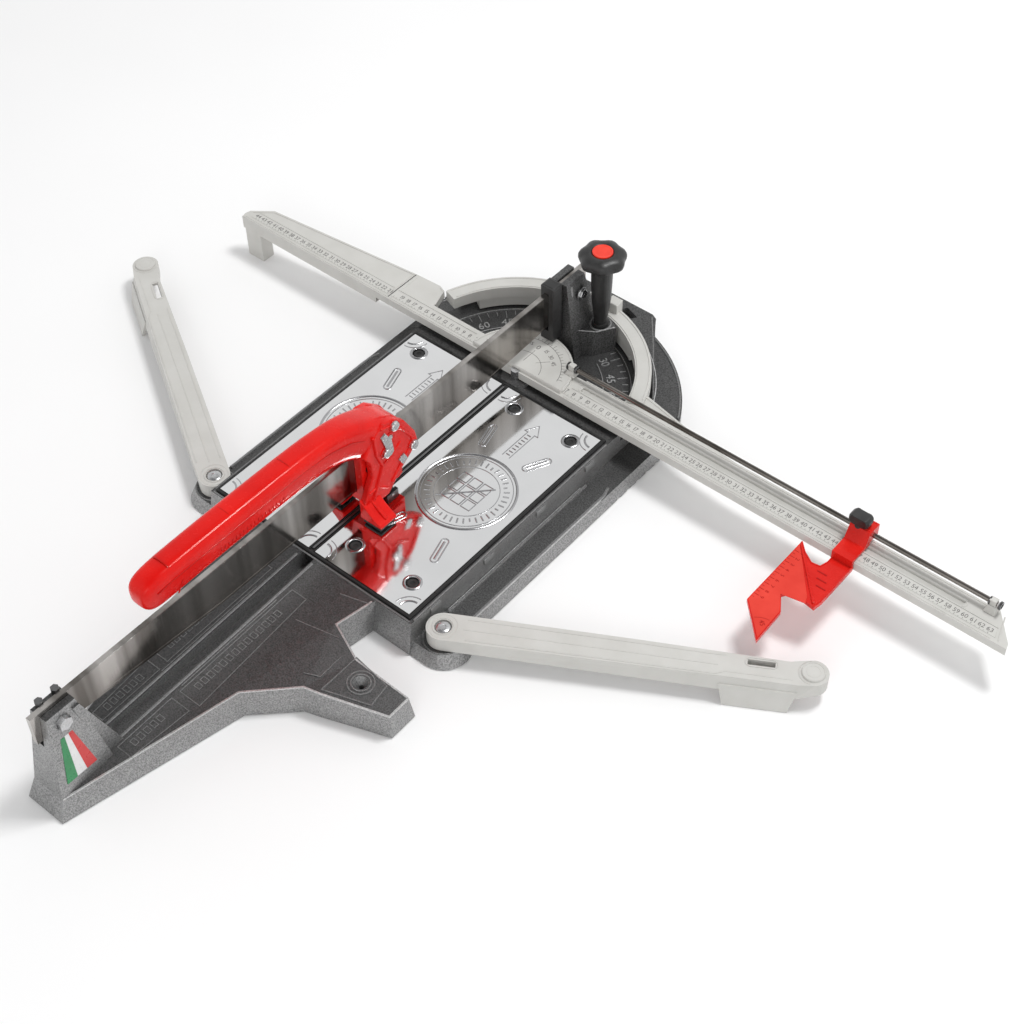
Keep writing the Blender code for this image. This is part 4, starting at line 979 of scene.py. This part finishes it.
def rail_details():
    bands = Shape()
    for side in (-1, 1):
        bands.frame = side_frame(side)
        bands.strip([(-640, 100.2), (-480, 87.6), (-62, 87.6), (50, 93.6)], 1.6, 2.6, 0.6)
        bands.strip([(-722, 139.6), (126, 139.6)], 1.2, 2.6, 0.55)
    bands.piece("rail_edges", "bed", "rail")
    tower = Shape()
    for side in (-1, 1):
        foot = [(20.4, 84, 60), (22.4, 84, 50), (22.4, 88, 50), (20.4, 88, 60)]
        head = [(12.2, 87, 138), (13.4, 87, 136), (13.4, 90, 136), (12.2, 90, 138)]
        tower.skin([[(side * x, y, z) for x, y, z in end] for end in (foot, head)])
    tower.strip([(21, 92), (40, 104), (52, 124)], 2.2, 70.8, 1.2)
    tower.strip(circle(*KNOB_AXIS, 12.4, 40), 2.4, 70.8, 1.6, closed=True)
    tower.piece("tower_ribs", "bed", "hammered_side", edge=0.4)
    low, high = (Vector(corner) * 1000 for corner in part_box("rear_rail_bolt"))
    bolt = Shape()
    bolt.frame = side_frame(1)
    cy, cz = (low.y + high.y) / 2, (low.z + high.z) / 2
    bolt.lathe(cy, cz, [(0.5, high.x - 1), (0.5, high.x + 2.6), (6.0, high.x + 2.6), (6.8, high.x + 1.8),
                        (6.8, high.x - 1)], 6)
    bolt.lathe(cy, cz, [(0.5, high.x - 1.6), (8.2, high.x - 1.6), (8.2, high.x - 0.4), (7.8, high.x),
                        (0.5, high.x)])
    bolt.piece("rear_bolt_head", "bed", "zinc", edge=0.3)
    collar = Shape()
    collar.skin([[(-8.6, 57.6, 140), (10.6, 57.6, 140), (10.6, 73.6, 140), (-8.6, 73.6, 140)],
                 [(-8.6, 57.6, 150), (10.6, 57.6, 150), (10.6, 73.6, 150), (-8.6, 73.6, 150)],
                 [(-6.6, 59.4, 151.6), (8.6, 59.4, 151.6), (8.6, 71.8, 151.6), (-6.6, 71.8, 151.6)]])
    collar.piece("collar_cap", "bed", "black", edge=0.8)


def spring_details():
    """Coils in place of the plates' springs, under plates that drop 4 mm."""
    for side, word in ((-1, "left"), (1, "right")):
        for row in ("front", "rear"):
            name = "plate_spring_%s_%s" % (word, row)
            low, high = (Vector(corner) * 1000 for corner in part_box(name))
            cx, cy = (low.x + high.x) / 2, (low.y + high.y) / 2
            wire, radius, turns, steps = 0.9, 8.0, 3.0, 60
            coil = Shape()
            rings = []
            for i in range(steps + 1):
                turn = 2 * pi * turns * i / steps
                z = low.z + wire + (high.z - low.z - 2 * wire) * i / steps
                ring = []
                for j in range(8):
                    out = radius + wire * cos(pi * j / 4)
                    ring.append((cx + out * cos(turn), cy + out * sin(turn), z + wire * sin(pi * j / 4)))
                rings.append(ring)
            coil.skin(rings)
            coil_piece = coil.piece("coil_%s_%s" % (word, row), "bed", "steel", angle=60)
            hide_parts(name)
            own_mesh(coil_piece)


for build_details in (spring_details, nose_details, frame_details, gasket_details, post_details,
                      plate_details, lever_details, fence_details, stop_details, knob_details, arm_details,
                      rail_details):
    build_details()


# ---- stage, camera

def area(name, position, target, size, power, colour=(1, 1, 1)):
    light = bpy.data.lights.new(name, "AREA")
    light.shape = "RECTANGLE"
    light.size, light.size_y = size
    light.energy = power
    light.color = colour
    lamp = put(name, light)
    lamp.location = position
    lamp.rotation_euler = (Vector(target) - Vector(position)).to_track_quat("-Z", "Y").to_euler()
    return lamp


def camera():
    """Stands to the right and in front of the nose, and looks down at the bed."""
    azimuth, elevation, roll = radians(40.51), radians(48.19), radians(-1.01)
    focal_length = 1803.9 / 1024    # in widths of the image
    back = Vector((sin(azimuth) * cos(elevation), -cos(azimuth) * cos(elevation), sin(elevation)))
    right = Vector((cos(azimuth), sin(azimuth), 0))
    up = back.cross(right)
    across = right * cos(roll) + up * sin(roll)
    upward = -right * sin(roll) + up * cos(roll)
    data = bpy.data.cameras.new("camera")
    data.sensor_width = 36
    data.lens = focal_length * data.sensor_width
    view = put("camera", data)
    turn = Matrix((across, upward, back)).transposed().to_4x4()
    view.matrix_world = Matrix.Translation((1.0012, -1.1834, 1.5417)) @ turn
    bpy.context.scene.camera = view


def floor():
    """A pale plane just under the feet, far larger than any view of it."""
    mesh = bpy.data.meshes.new("floor")
    mesh.from_pydata([(-30, -30, 0), (30, -30, 0), (30, 30, 0), (-30, 30, 0)], [], [(0, 1, 2, 3)])
    obj = put("floor", mesh)
    m = Nodes("pale_floor")
    m.colour(m.ramp(m.noise(3, 2), [(0.2, grey(0.91)), (0.8, grey(0.93))]))
    m.set(Roughness=0.9, Specular_IOR_Level=0.1)
    mesh.materials.append(m.material)
    obj.location.z = -0.0002


def studio():
    """A white horizon that greys towards the top, and two large lamps."""
    world = bpy.data.worlds.new("studio")
    bpy.context.scene.world = world
    world.use_nodes = True
    tree = world.node_tree
    sky = tree.nodes["Background"]
    sky.inputs["Strength"].default_value = 1.0
    direction = tree.nodes.new("ShaderNodeTexCoord")
    split = tree.nodes.new("ShaderNodeSeparateXYZ")
    band = tree.nodes.new("ShaderNodeValToRGB")
    tree.links.new(direction.outputs["Generated"], split.inputs["Vector"])
    tree.links.new(split.outputs["Z"], band.inputs["Fac"])
    tree.links.new(band.outputs["Color"], sky.inputs["Color"])
    ramp = band.color_ramp
    ramp.elements[0].position, ramp.elements[0].color = 0.0, (1.0, 1.0, 1.0, 1)
    ramp.elements[1].position, ramp.elements[1].color = 1.0, (0.10, 0.10, 0.11, 1)
    for position, value in ((0.30, 0.95), (0.55, 0.82), (0.79, 0.72), (0.88, 0.28)):
        ramp.elements.new(position).color = (value, value, value, 1)
    area("key", (0.70, 0.75, 3.0), (0, -0.1, 0), (0.7, 0.7), 52)
    area("fill", (1.2, -2.2, 1.6), (0, -0.2, 0), (1.2, 1.0), 8)
    bpy.context.scene.view_settings.view_transform = "Standard"


camera()
floor()
studio()
